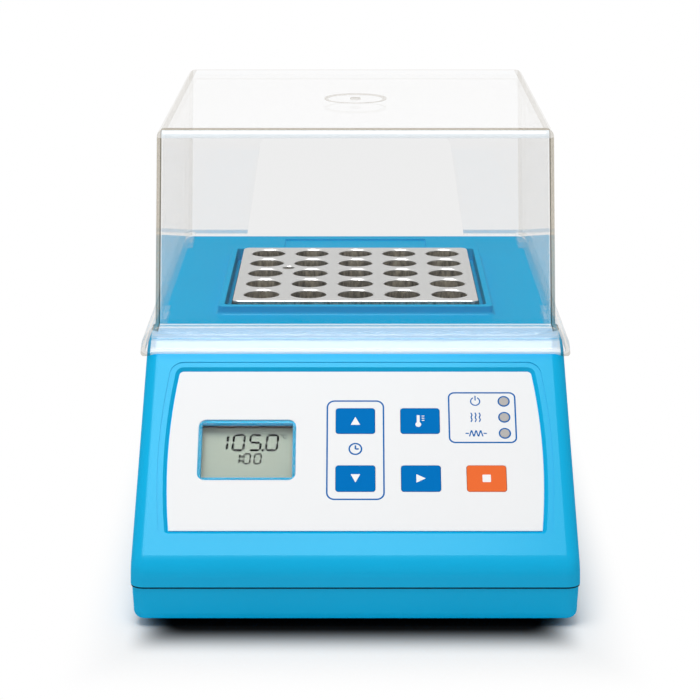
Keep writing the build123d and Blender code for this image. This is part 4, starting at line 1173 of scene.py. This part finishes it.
@dataclass
class SegmentDigits:
    """Seven-segment numerals on the liquid crystal."""

    height: float
    width: float
    stroke: float
    pitch: float
    slant: float = 0.09
    gap: float = 0.12 * MM
    tip: float = 0.02
    dot: float = 0.62
    dot_sides: int = 10
    colon: tuple[float, float] = (0.3, 0.7)

    LIT: ClassVar[dict[str, str]] = {
        "0": "abcdef", "1": "bc", "2": "abdeg", "3": "abcdg", "4": "bcfg",
        "5": "acdfg", "6": "acdefg", "7": "abc", "8": "abcdefg", "9": "abcdfg",
    }

    def segment(self, length: float) -> bpy.types.Object:
        """Cut one level segment with pointed ends.

        Args:
            length: its whole length.

        Returns:
            The flat piece, centred on the origin.
        """
        bar = start(bpy.ops.mesh.primitive_plane_add, "segment", size=1.0)
        bpy.ops.transform.resize(value=(length - self.stroke, self.stroke, 1.0))
        end = 0.49 * (length - self.stroke)
        for side in (-1, 1):
            pick(bar, Pick.EDGE, lambda place, side=side: place.x * side > end)
            reach = (side * self.stroke / 2, 0, 0)
            bpy.ops.mesh.extrude_region_move(TRANSFORM_OT_translate={"value": reach})
            bpy.ops.transform.resize(value=(1.0, self.tip, 1.0))
        bpy.ops.mesh.select_all(action="SELECT")
        bpy.ops.mesh.remove_doubles(threshold=self.stroke * 0.05)
        close_edit()
        return bar

    def write(self, name: str, text: str) -> bpy.types.Object:
        """Set out a number from left to right, with its lower left corner at the origin.

        Args:
            name: the piece's name.
            text: digits, points and colons.

        Returns:
            The flat piece.
        """
        half = self.height / 2
        level = self.segment(self.width - 2 * self.gap)
        upright = self.segment(half - 2 * self.gap)
        places = {
            "a": (level, self.width / 2, self.height, 0), "g": (level, self.width / 2, half, 0),
            "d": (level, self.width / 2, 0, 0), "b": (upright, self.width, 1.5 * half, 90),
            "c": (upright, self.width, half / 2, 90), "f": (upright, 0, 1.5 * half, 90),
            "e": (upright, 0, half / 2, 90),
        }
        marks = []
        cursor = 0.0
        for sign in text:
            if sign in ".:":
                for rise in ((0,) if sign == "." else self.colon):
                    dot = disc("dot", self.dot * self.stroke, self.dot_sides)
                    across = cursor - (self.pitch - self.width) / 2
                    settle(dot, Matrix.Translation((across, rise * self.height, 0)))
                    marks.append(dot)
                continue
            for lit in self.LIT[sign]:
                model, across, rise, turn = places[lit]
                mark = copy_of(model, "mark")
                spin = Matrix.Rotation(math.radians(turn), 4, "Z")
                settle(mark, Matrix.Translation((cursor + across, rise, 0)) @ spin)
                marks.append(mark)
            cursor += self.pitch
        for model in (level, upright):
            bpy.data.objects.remove(model)
        number = joined(name, marks)
        lean = Matrix.Identity(4)
        lean[0][1] = self.slant
        number.data.transform(lean)
        return number


@dataclass
class Display:
    """The liquid crystal display: its window, its glass and the numerals it shows."""

    plane: PanelPlane
    # The polariser is grey-green without glare, a darkened segment is black, and a near-black ring in the
    # window's recess is painted shade.
    glass: PrintedFilm = PrintedFilm("reflective_lcd_polariser", "b4bcac", roughness=0.3, velvet=0.3)
    black: PrintedFilm = PrintedFilm("darkened_liquid_crystal", "060706", roughness=0.5)
    recess_shade: MouldedPlastic = MouldedPlastic("painted_recess_shade", "0c0c0e", 0.85, grain=0.3, relief=0.05)
    reading: SegmentDigits = field(
        default_factory=lambda: SegmentDigits(7.5 * MM, 4.7 * MM, 1.12 * MM, 7.28 * MM, gap=0.18 * MM),
    )
    reading_place: tuple[float, float] = (-13.9 * MM, 2.75 * MM)
    clock: SegmentDigits = field(
        default_factory=lambda: SegmentDigits(4.8 * MM, 2.8 * MM, 0.78 * MM, 4.65 * MM, gap=0.12 * MM),
    )
    clock_place: tuple[float, float] = (-6.45 * MM, -3.9 * MM)
    degree_radius: float = 0.5 * MM
    degree_line: float = 0.24 * MM
    degree_place: tuple[float, float] = (14.7 * MM, 10.2 * MM)
    letter_radius: float = 1.05 * MM
    letter_line: float = 0.34 * MM
    letter_mouth: float = 0.55 * MM
    letter_place: tuple[float, float] = (16.4 * MM, 9.5 * MM)
    thickness: float = 0.02 * MM
    opening: tuple[float, float] = (40.1 * MM, 27.4 * MM)
    shade_ring_width: float = 1.3 * MM
    shade_ring_height: float = 3.0 * MM

    def build(self) -> None:
        """Finish the glass, line its recess with a ring of painted shade and lay the numerals on it."""
        dress(self.glass.make(), "display_module")
        black = self.black.make()
        floor = self.plane.height_of("display_module")
        across, along = self.plane.centre_of("display_window")
        rim = 2 * self.shade_ring_width
        shade_ring = rounded_plate("lcd_recess_shade", self.opening[0] + rim, self.opening[1] + rim, self.shade_ring_width)
        framed(shade_ring, self.shade_ring_width)
        thicken(shade_ring, self.shade_ring_height)
        settle(shade_ring, self.plane.at(across, along, floor))
        fit_out(shade_ring, self.recess_shade.make(), "housing")
        reading = self.reading.write("lcd_reading", "105.0")
        settle(reading, Matrix.Translation((*self.reading_place, 0)))
        clock = self.clock.write("lcd_clock", "1:00")
        settle(clock, Matrix.Translation((*self.clock_place, 0)))
        for mark in (reading, clock, self.unit()):
            thicken(mark, self.thickness)
            settle(mark, self.plane.at(across, along, floor))
            fit_out(mark, black, "housing")

    def unit(self) -> bpy.types.Object:
        """Cut the small degree and C at the right of the reading.

        Returns:
            The flat piece, in its place from the middle of the display.
        """
        degree = framed(disc("degree", self.degree_radius, sides=16), self.degree_line)
        settle(degree, Matrix.Translation((*self.degree_place, 0)))
        letter = framed(disc("letter", self.letter_radius, sides=24), self.letter_line)
        cut_away(letter, lambda place: place.x > self.letter_mouth)
        settle(letter, Matrix.Translation((*self.letter_place, 0)))
        return joined("lcd_unit", [degree, letter])


@dataclass
class ControlPanel:
    """The printed film on the slope, with its outlines, signs, keys and lamps."""

    plane: PanelPlane
    # Screen-printed polyester is flat and matt, and an embossed key is a little glossier. A lamp's lens
    # is milky while it is off, and the window's film hardly shows.
    film: PrintedFilm = PrintedFilm("screen_printed_polyester", "f3f4f5", roughness=0.42)
    blue: PrintedFilm = PrintedFilm("screen_ink_blue", "0468b2", roughness=0.4)
    white: PrintedFilm = PrintedFilm("screen_ink_white", "f8f8f8", roughness=0.4)
    key: PrintedFilm = PrintedFilm("embossed_film_blue", "0072be", roughness=0.36)
    stop: PrintedFilm = PrintedFilm("embossed_film_orange", "f07038", roughness=0.36)
    lens: MouldedPlastic = MouldedPlastic("diffused_epoxy_lens", "96928f", roughness=0.3, grain=0.5)
    window: ClearSheet = ClearSheet(
        "clear_window_film", "fdfefe", "f4f7f8", mirror=0.004, steepest_mirror=0.08,
    )

    # Each outline has its width, its height and its corner radius. Places are across and up.
    ink: float = 0.03 * MM
    line: float = 0.68 * MM
    fine_line: float = 0.36 * MM
    timer_outline: tuple[float, float, float] = (25.2 * MM, 49 * MM, 3.5 * MM)
    lamp_outline: tuple[float, float, float] = (29.7 * MM, 25.5 * MM, 2.8 * MM)
    lamp_outline_place: tuple[float, float] = (55.4 * MM, 15.9 * MM)
    ring_radius: float = 2.7 * MM
    ring_line: float = 0.65 * MM
    ring_column: float = 65 * MM
    sign_column: float = 52.5 * MM
    lamp_pitch: float = 8 * MM
    lamp_sign_scale: float = 1.5
    clock_rise: float = 0.3 * MM
    clock_radius: float = 3.0 * MM
    minute_hand: float = 2.0 * MM
    minute_rise: float = 0.8 * MM
    hour_hand: float = 1.5 * MM
    arrow_width: float = 4.1 * MM
    arrow_height: float = 4.0 * MM
    stop_size: float = 3.6 * MM
    stop_corner: float = 0.3 * MM
    bulb_radius: float = 1.25 * MM
    bulb_place: tuple[float, float] = (-0.8 * MM, -1.8 * MM)
    stem: float = 3.4 * MM
    scale_mark: tuple[float, float] = (1.2 * MM, 0.4 * MM)
    scale_place: tuple[float, float] = (1.3 * MM, 0.2 * MM)
    scale_marks: int = 3
    scale_pitch: float = 1.1 * MM
    power_radius: float = 1.5 * MM
    power_gap: float = 0.6 * MM
    power_bar: float = 1.6 * MM
    power_bar_rise: float = 1.1 * MM
    wave_columns: tuple[float, ...] = (-1.2 * MM, 0, 1.2 * MM)
    wave_strokes: int = 4
    wave_step: float = 0.75 * MM
    wave_length: float = 0.95 * MM
    wave_lean: float = 22.0
    lead: float = 1.0 * MM
    lead_place: float = 2.6 * MM
    zigzag_strokes: int = 6
    zigzag_step: float = 0.66 * MM
    zigzag_length: float = 2.1 * MM
    zigzag_lean: float = 16.0
    stroke_corner: float = 0.15 * MM
    bar_round: float = 0.45

    def build(self) -> None:
        """Finish the film, keys and lamps, and print the outlines and signs."""
        dress(self.film.make(), "control_overlay")
        dress(self.key.make(), "up_key", "down_key", "temperature_key", "start_key")
        dress(self.stop.make(), "stop_key")
        dress(self.lens.make(), "indicator_lamps")
        dress(self.window.make(), "display_window")
        blue = self.blue.make()
        white = self.white.make()
        for mark, across, along in self.film_prints():
            thicken(mark, self.ink)
            settle(mark, self.plane.at(across, along, 0))
            fit_out(mark, blue, "housing")
        for mark, node, body in self.key_signs():
            thicken(mark, self.ink)
            settle(mark, self.plane.at(*self.plane.centre_of(node), self.plane.height_of(node)))
            fit_out(mark, white, body)

    def film_prints(self) -> Iterator[tuple[bpy.types.Object, float, float]]:
        """Cut what is printed on the film itself.

        Returns:
            Each flat piece with its place across and up the panel.
        """
        yield framed(rounded_plate("timer_outline", *self.timer_outline), self.line), 0, 0
        lamps = framed(rounded_plate("lamp_outline", *self.lamp_outline), self.line)
        yield lamps, *self.lamp_outline_place
        yield self.clock_sign(), 0, self.clock_rise
        signs = {"heating_sign": self.heat_sign, "hot_sign": self.hot_sign, "power_sign": self.power_sign}
        for row, (name, sign) in enumerate(signs.items(), start=1):
            along = row * self.lamp_pitch
            yield framed(disc(f"lamp_ring_{row}", self.ring_radius), self.ring_line), self.ring_column, along
            mark = sign(name)
            settle(mark, Matrix.Scale(self.lamp_sign_scale, 4))
            yield mark, self.sign_column, along

    def key_signs(self) -> Iterator[tuple[bpy.types.Object, str, str]]:
        """Cut the signs on the keys.

        Returns:
            Each flat piece with the key node that it lies on and the body that carries it.
        """
        for key, turn in (("up", 0.0), ("down", math.pi)):
            yield self.arrow(f"{key}_sign", turn), f"{key}_key", f"{key}_button"
        yield self.thermometer_sign(), "temperature_key", "temperature_button"
        yield self.arrow("start_sign", -math.pi / 2), "start_key", "start_button"
        square = rounded_plate("stop_sign", self.stop_size, self.stop_size, self.stop_corner)
        yield square, "stop_key", "stop_button"

    def arrow(self, name: str, turn: float) -> bpy.types.Object:
        """Cut an arrowhead.

        Args:
            name: the piece's name.
            turn: how far it is turned from pointing up, in radians.

        Returns:
            The flat piece.
        """
        piece = triangle(name, self.arrow_width, self.arrow_height)
        settle(piece, Matrix.Rotation(turn, 4, "Z"))
        return piece

    def bar(self, name: str, across: float, along: float, width: float, height: float) -> bpy.types.Object:
        """Cut a short round-ended bar.

        Args:
            name: the piece's name.
            across: its middle's place across.
            along: its middle's place up.
            width: size across.
            height: size up.

        Returns:
            The flat piece, in its place.
        """
        piece = rounded_plate(name, width, height, min(width, height) * self.bar_round)
        settle(piece, Matrix.Translation((across, along, 0)))
        return piece

    def stroke(self, name: str, across: float, along: float, length: float, lean: float) -> bpy.types.Object:
        """Cut one leaning stroke of a wave or a zigzag.

        Args:
            name: the piece's name.
            across: its middle's place across.
            along: its middle's place up.
            length: its length.
            lean: how far it leans to the left, in degrees.

        Returns:
            The flat piece, in its place.
        """
        piece = rounded_plate(name, self.fine_line, length, self.stroke_corner)
        turn = Matrix.Rotation(math.radians(lean), 4, "Z")
        settle(piece, Matrix.Translation((across, along, 0)) @ turn)
        return piece

    def clock_sign(self) -> bpy.types.Object:
        """Cut a clock face with two hands.

        Returns:
            The flat piece.
        """
        ring = framed(disc("clock_sign", self.clock_radius), self.line)
        minute = self.bar("hand", 0, self.minute_rise, self.line, self.minute_hand)
        hour = self.bar("hand", self.hour_hand / 2, 0, self.hour_hand, self.line)
        return joined("clock_sign", [ring, minute, hour])

    def thermometer_sign(self) -> bpy.types.Object:
        """Cut a thermometer: a bulb whose top is drawn out into a stem, and three marks beside it.

        Returns:
            The flat piece.
        """
        bulb = start(
            bpy.ops.mesh.primitive_circle_add, "temperature_sign", vertices=24, radius=self.bulb_radius,
            fill_type="NGON",
        )
        crown = 0.9 * self.bulb_radius
        pick(bulb, Pick.EDGE, lambda place: place.y > crown)
        bpy.ops.mesh.extrude_region_move(TRANSFORM_OT_translate={"value": (0, self.stem, 0)})
        close_edit()
        settle(bulb, Matrix.Translation((*self.bulb_place, 0)))
        across, lowest = self.scale_place
        rises = [lowest + row * self.scale_pitch for row in range(self.scale_marks)]
        marks = [self.bar("mark", across, rise, *self.scale_mark) for rise in rises]
        return joined("temperature_sign", [bulb, *marks])

    def power_sign(self, name: str) -> bpy.types.Object:
        """Cut an open ring with a bar in its gap.

        Args:
            name: the piece's name.

        Returns:
            The flat piece.
        """
        ring = framed(disc(name, self.power_radius), self.fine_line)
        cut_away(ring, lambda place: place.y > 0 and abs(place.x) < self.power_gap)
        bar = self.bar("bar", 0, self.power_bar_rise, self.fine_line, self.power_bar)
        return joined(name, [ring, bar])

    def hot_sign(self, name: str) -> bpy.types.Object:
        """Cut rising waves, each a chain of short strokes.

        Args:
            name: the piece's name.

        Returns:
            The flat piece.
        """
        waves = []
        for column in self.wave_columns:
            for step in range(self.wave_strokes):
                lean = self.wave_lean if step % 2 else -self.wave_lean
                along = (step - (self.wave_strokes - 1) / 2) * self.wave_step
                waves.append(self.stroke("wave", column, along, self.wave_length, lean))
        return joined(name, waves)

    def heat_sign(self, name: str) -> bpy.types.Object:
        """Cut a heating element: a level zigzag between two leads.

        Args:
            name: the piece's name.

        Returns:
            The flat piece.
        """
        leads = (-self.lead_place, self.lead_place)
        strokes = [self.bar("lead", across, 0, self.lead, self.fine_line) for across in leads]
        for step in range(self.zigzag_strokes):
            lean = self.zigzag_lean if step % 2 else -self.zigzag_lean
            across = (step - (self.zigzag_strokes - 1) / 2) * self.zigzag_step
            strokes.append(self.stroke("zigzag", across, 0, self.zigzag_length, lean))
        return joined(name, strokes)


@dataclass
class MainsEntry:
    """The inlet, the fuse drawer and the rocker at the back."""

    # Glass-filled nylon is dark and slightly rough, the rocker is polished, and nickel is warm and bright.
    nylon: MouldedPlastic = MouldedPlastic(
        "glass_filled_nylon", "17181a", roughness=0.48, grain=0.35, relief=0.02,
    )
    rocker: MouldedPlastic = MouldedPlastic("polished_nylon", "141416", 0.22, grain=0.6, relief=0.004)
    pin: CutMetal = CutMetal("nickel_plated_brass", "d8d0b8", roughness=0.2)
    fuse: ClearSheet = ClearSheet("fuse_glass_tube", "e8efe9", "a9b6ad")
    white: PrintedFilm = PrintedFilm("pad_printed_white", "ededed", roughness=0.5)
    ink: float = 0.02 * MM
    on_bar: tuple[float, float, float] = (0.9 * MM, 3.4 * MM, 0.1 * MM)
    off_radius: float = 1.8 * MM
    off_line: float = 0.8 * MM
    wing_height: float = 2.0 * MM
    wing_facing: float = 0.9

    def build(self) -> None:
        """Finish the entry's pieces and print the rocker."""
        dress(self.nylon.make(), "mains_inlet", "fuse_drawer", "switch_frame")
        dress(self.rocker.make(), "power_rocker")
        self.mark_rocker()
        dress(self.pin.make(), "inlet_pins")
        dress(self.fuse.make(), "fuse")

    def mark_rocker(self) -> None:
        """Print a bar on one wing of the rocker and a ring on the other."""
        bar = rounded_plate("rocker_bar", *self.on_bar)
        ring = framed(disc("rocker_ring", self.off_radius), self.off_line)
        white = self.white.make()
        for sign, higher in ((bar, True), (ring, False)):
            thicken(sign, self.ink)
            settle(sign, self.wing(higher))
            fit_out(sign, white, "rocker")

    def wing(self, higher: bool) -> Matrix:
        """Find the middle of one of the rocker's two outer wings.

        Args:
            higher: whether the upper wing is meant.

        Returns:
            The matrix that takes a flat piece there, upright as seen from behind.
        """
        pivot = next(joint["pos_m"] for joint in frame["joints"] if joint["name"] == "rocker_tip")
        wings = [
            face for face in frame["nodes"]["power_rocker"].data.polygons
            if face.normal.y > self.wing_facing and face.center.y > pivot[1] + self.wing_height
            and (face.center.z > pivot[2]) == higher
        ]
        area = sum(face.area for face in wings)
        middle = sum((face.center * face.area for face in wings), Vector()) / area
        out = sum((face.normal * face.area for face in wings), Vector()).normalized()
        return Matrix.Translation(middle) @ upright_frame(out, out.cross(Vector((-1, 0, 0))))


@dataclass
class ScrewRecesses:
    """The cross recesses in the screw heads that can be seen: round the inlet and underneath."""

    length: float = 2.4 * MM
    width: float = 0.6 * MM
    corner: float = 0.12 * MM
    thickness: float = 0.02 * MM
    tolerance: float = 0.01 * MM
    # The bottom of a struck recess lies in shade, so its steel is dark.
    shade: CutMetal = CutMetal("struck_steel_in_shade", "3a3c40", roughness=0.5)

    def build(self) -> None:
        """Cut one cross and set a copy on each head."""
        bars = [rounded_plate("bar", self.length, self.width, self.corner) for _ in range(2)]
        settle(bars[1], Matrix.Rotation(math.pi / 2, 4, "Z"))
        model = joined("cross", bars)
        thicken(model, self.thickness)
        shade = self.shade.make()
        for node, out, up in (
            ("inlet_screws", Vector((0, 1, 0)), Vector((0, 0, 1))),
            ("case_screws", Vector((0, 0, -1)), Vector((0, 1, 0))),
        ):
            turn = upright_frame(out, up)
            for number, middle in enumerate(self.heads(node, out), start=1):
                cross = copy_of(model, f"{node}_cross_{number}")
                settle(cross, Matrix.Translation(middle) @ turn)
                fit_out(cross, shade, "housing")
        bpy.data.objects.remove(model)

    def heads(self, node: str, out: Vector) -> list[Vector]:
        """Find the middle of each screw head's outer face.

        Args:
            node: the screws' CAD node.
            out: the way that the heads face.

        Returns:
            One place for each screw, in a steady order.
        """
        low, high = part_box(node)
        middle = (Vector(low) + Vector(high)) / 2
        corners = [corner.co for corner in frame["nodes"][node].data.vertices]
        reach = max(corner.dot(out) for corner in corners)
        faces: dict[tuple[bool, bool], list[Vector]] = {}
        for corner in corners:
            if corner.dot(out) > reach - self.tolerance:
                faces.setdefault((corner.x > middle.x, corner.y > middle.y), []).append(corner)
        return [
            Vector((min(c[axis] for c in face) + max(c[axis] for c in face)) / 2 for axis in range(3))
            for _, face in sorted(faces.items())
        ]


@dataclass
class Electronics:
    """The boards and what they carry."""

    # Solder mask is a glossy green, relays and sleeves are plain mouldings, coil tape is amber, and the
    # core shows the edges of its sheets.
    board: CircuitBoard = CircuitBoard("solder_masked_laminate", "0f5a34", "1b7a48")
    relay: MouldedPlastic = MouldedPlastic("moulded_relay_case", "22242a", roughness=0.4)
    terminal: MouldedPlastic = MouldedPlastic("moulded_polyamide_green", "1f8a4c", roughness=0.42)
    sleeve: MouldedPlastic = MouldedPlastic("shrunk_pvc_sleeve", "1d2740", roughness=0.28, grain=2.0)
    tape: PrintedFilm = PrintedFilm("polyester_coil_tape", "d9b23a", roughness=0.35, velvet=1.0)
    core: CutMetal = CutMetal(
        "laminated_core_steel", "5d5f63", roughness=0.45, mark=0.5, stretch=(0.02, 1.0, 0.02),
    )
    ribbon: MouldedPlastic = MouldedPlastic("flat_pvc_ribbon", "9a9da1", roughness=0.5, grain=1.27)

    def dress(self) -> None:
        """Finish the boards and the pieces on them."""
        dress(self.board.make(), "main_board", "display_board")
        dress(self.relay.make(), "heater_relay", "ribbon_header", "thermal_cutout")
        dress(self.terminal.make(), "terminal_block")
        dress(self.sleeve.make(), "capacitors")
        dress(self.tape.make(), "transformer_coil")
        dress(self.core.make(), "transformer_core")
        dress(self.ribbon.make(), "ribbon_cable")


@dataclass
class Studio:
    """White floor and backdrop, a large soft lamp above and the camera."""

    eye: tuple[float, float, float] = (0.0, -1.0133, 0.3542)
    pitch: float = 15.07
    lens: float = 112.7
    sensor: float = 36.0
    shift_px: float = -5.4
    picture_px: float = 700.0
    nearest: float = 0.01
    room: float = 3.0
    bend: float = 0.9
    bend_steps: int = 16
    shade_inset: float = 16.8 * MM
    ambient: float = 0.43
    lamp_place: tuple[float, float, float] = (-0.22, -0.42, 1.5)
    lamp_size: tuple[float, float] = (0.9, 0.75)
    lamp_radiance: float = 7.0

    def build(self) -> None:
        """Set up the floor, the light and the camera."""
        self.lay_floor()
        self.light()
        self.place_camera()

    def lay_floor(self) -> None:
        """Make a floor that turns up into a backdrop, and cover it in paper."""
        floor = start(bpy.ops.mesh.primitive_plane_add, "studio_floor", size=2 * self.room)
        back = 0.9 * self.room
        pick(floor, Pick.EDGE, lambda place: place.y > back)
        bpy.ops.mesh.extrude_region_move(TRANSFORM_OT_translate={"value": (0, 0, self.room)})
        pick(floor, Pick.EDGE, lambda place: place.y > back and abs(place.z) < MM)
        bpy.ops.mesh.bevel(affect="EDGES", offset=self.bend, segments=self.bend_steps)
        close_edit()
        select_only(floor)
        bpy.ops.object.shade_smooth()
        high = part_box("lower_shell")[1]
        paper = StudioPaper("white_studio_paper", high[0] - self.shade_inset, high[1])
        floor.data.materials.append(paper.make())

    def light(self) -> None:
        """Hang the soft lamp and set the world's light."""
        bpy.ops.object.light_add(type="AREA", location=self.lamp_place)
        lamp = bpy.context.active_object
        lamp.name = "softbox"
        lamp.data.shape = "RECTANGLE"
        lamp.data.size, lamp.data.size_y = self.lamp_size
        lamp.data.energy = self.lamp_radiance * math.pi * self.lamp_size[0] * self.lamp_size[1]
        world = bpy.data.worlds.new("studio_world")
        world.use_nodes = True
        tree = world.node_tree
        tree.nodes.clear()
        strength = add_node(tree, "MapRange", Value=seen_rays(tree), To_Min=self.ambient, To_Max=1.0)
        sky = add_node(tree, "Background", Color=linear("ffffff"), Strength=strength)
        add_node(tree, "OutputWorld", Surface=sky)
        bpy.context.scene.world = world

    def place_camera(self) -> None:
        """Stand the camera in front, looking a little down."""
        bpy.ops.object.camera_add(location=self.eye, rotation=(math.radians(90 - self.pitch), 0, 0))
        camera = bpy.context.active_object
        camera.name = "camera"
        camera.data.lens = self.lens
        camera.data.sensor_width = self.sensor
        camera.data.shift_x = self.shift_px / self.picture_px
        camera.data.clip_start = self.nearest
        bpy.context.scene.camera = camera


def main() -> None:
    """Build the reactor's looks round its frame, then the studio."""
    logging.basicConfig(level=logging.INFO, format="%(name)s: %(message)s")
    bpy.context.scene.view_settings.view_transform = "Standard"
    plane = PanelPlane.of_frame()
    Studio().build()
    Enclosure().dress()
    PartingShadowStrip().build()
    HeatingBlock().dress()
    SafetyShield().dress()
    Electronics().dress()
    MainsEntry().build()
    ScrewRecesses().build()
    ControlPanel(plane).build()
    Display(plane).build()


if __name__ == "__main__":
    main()
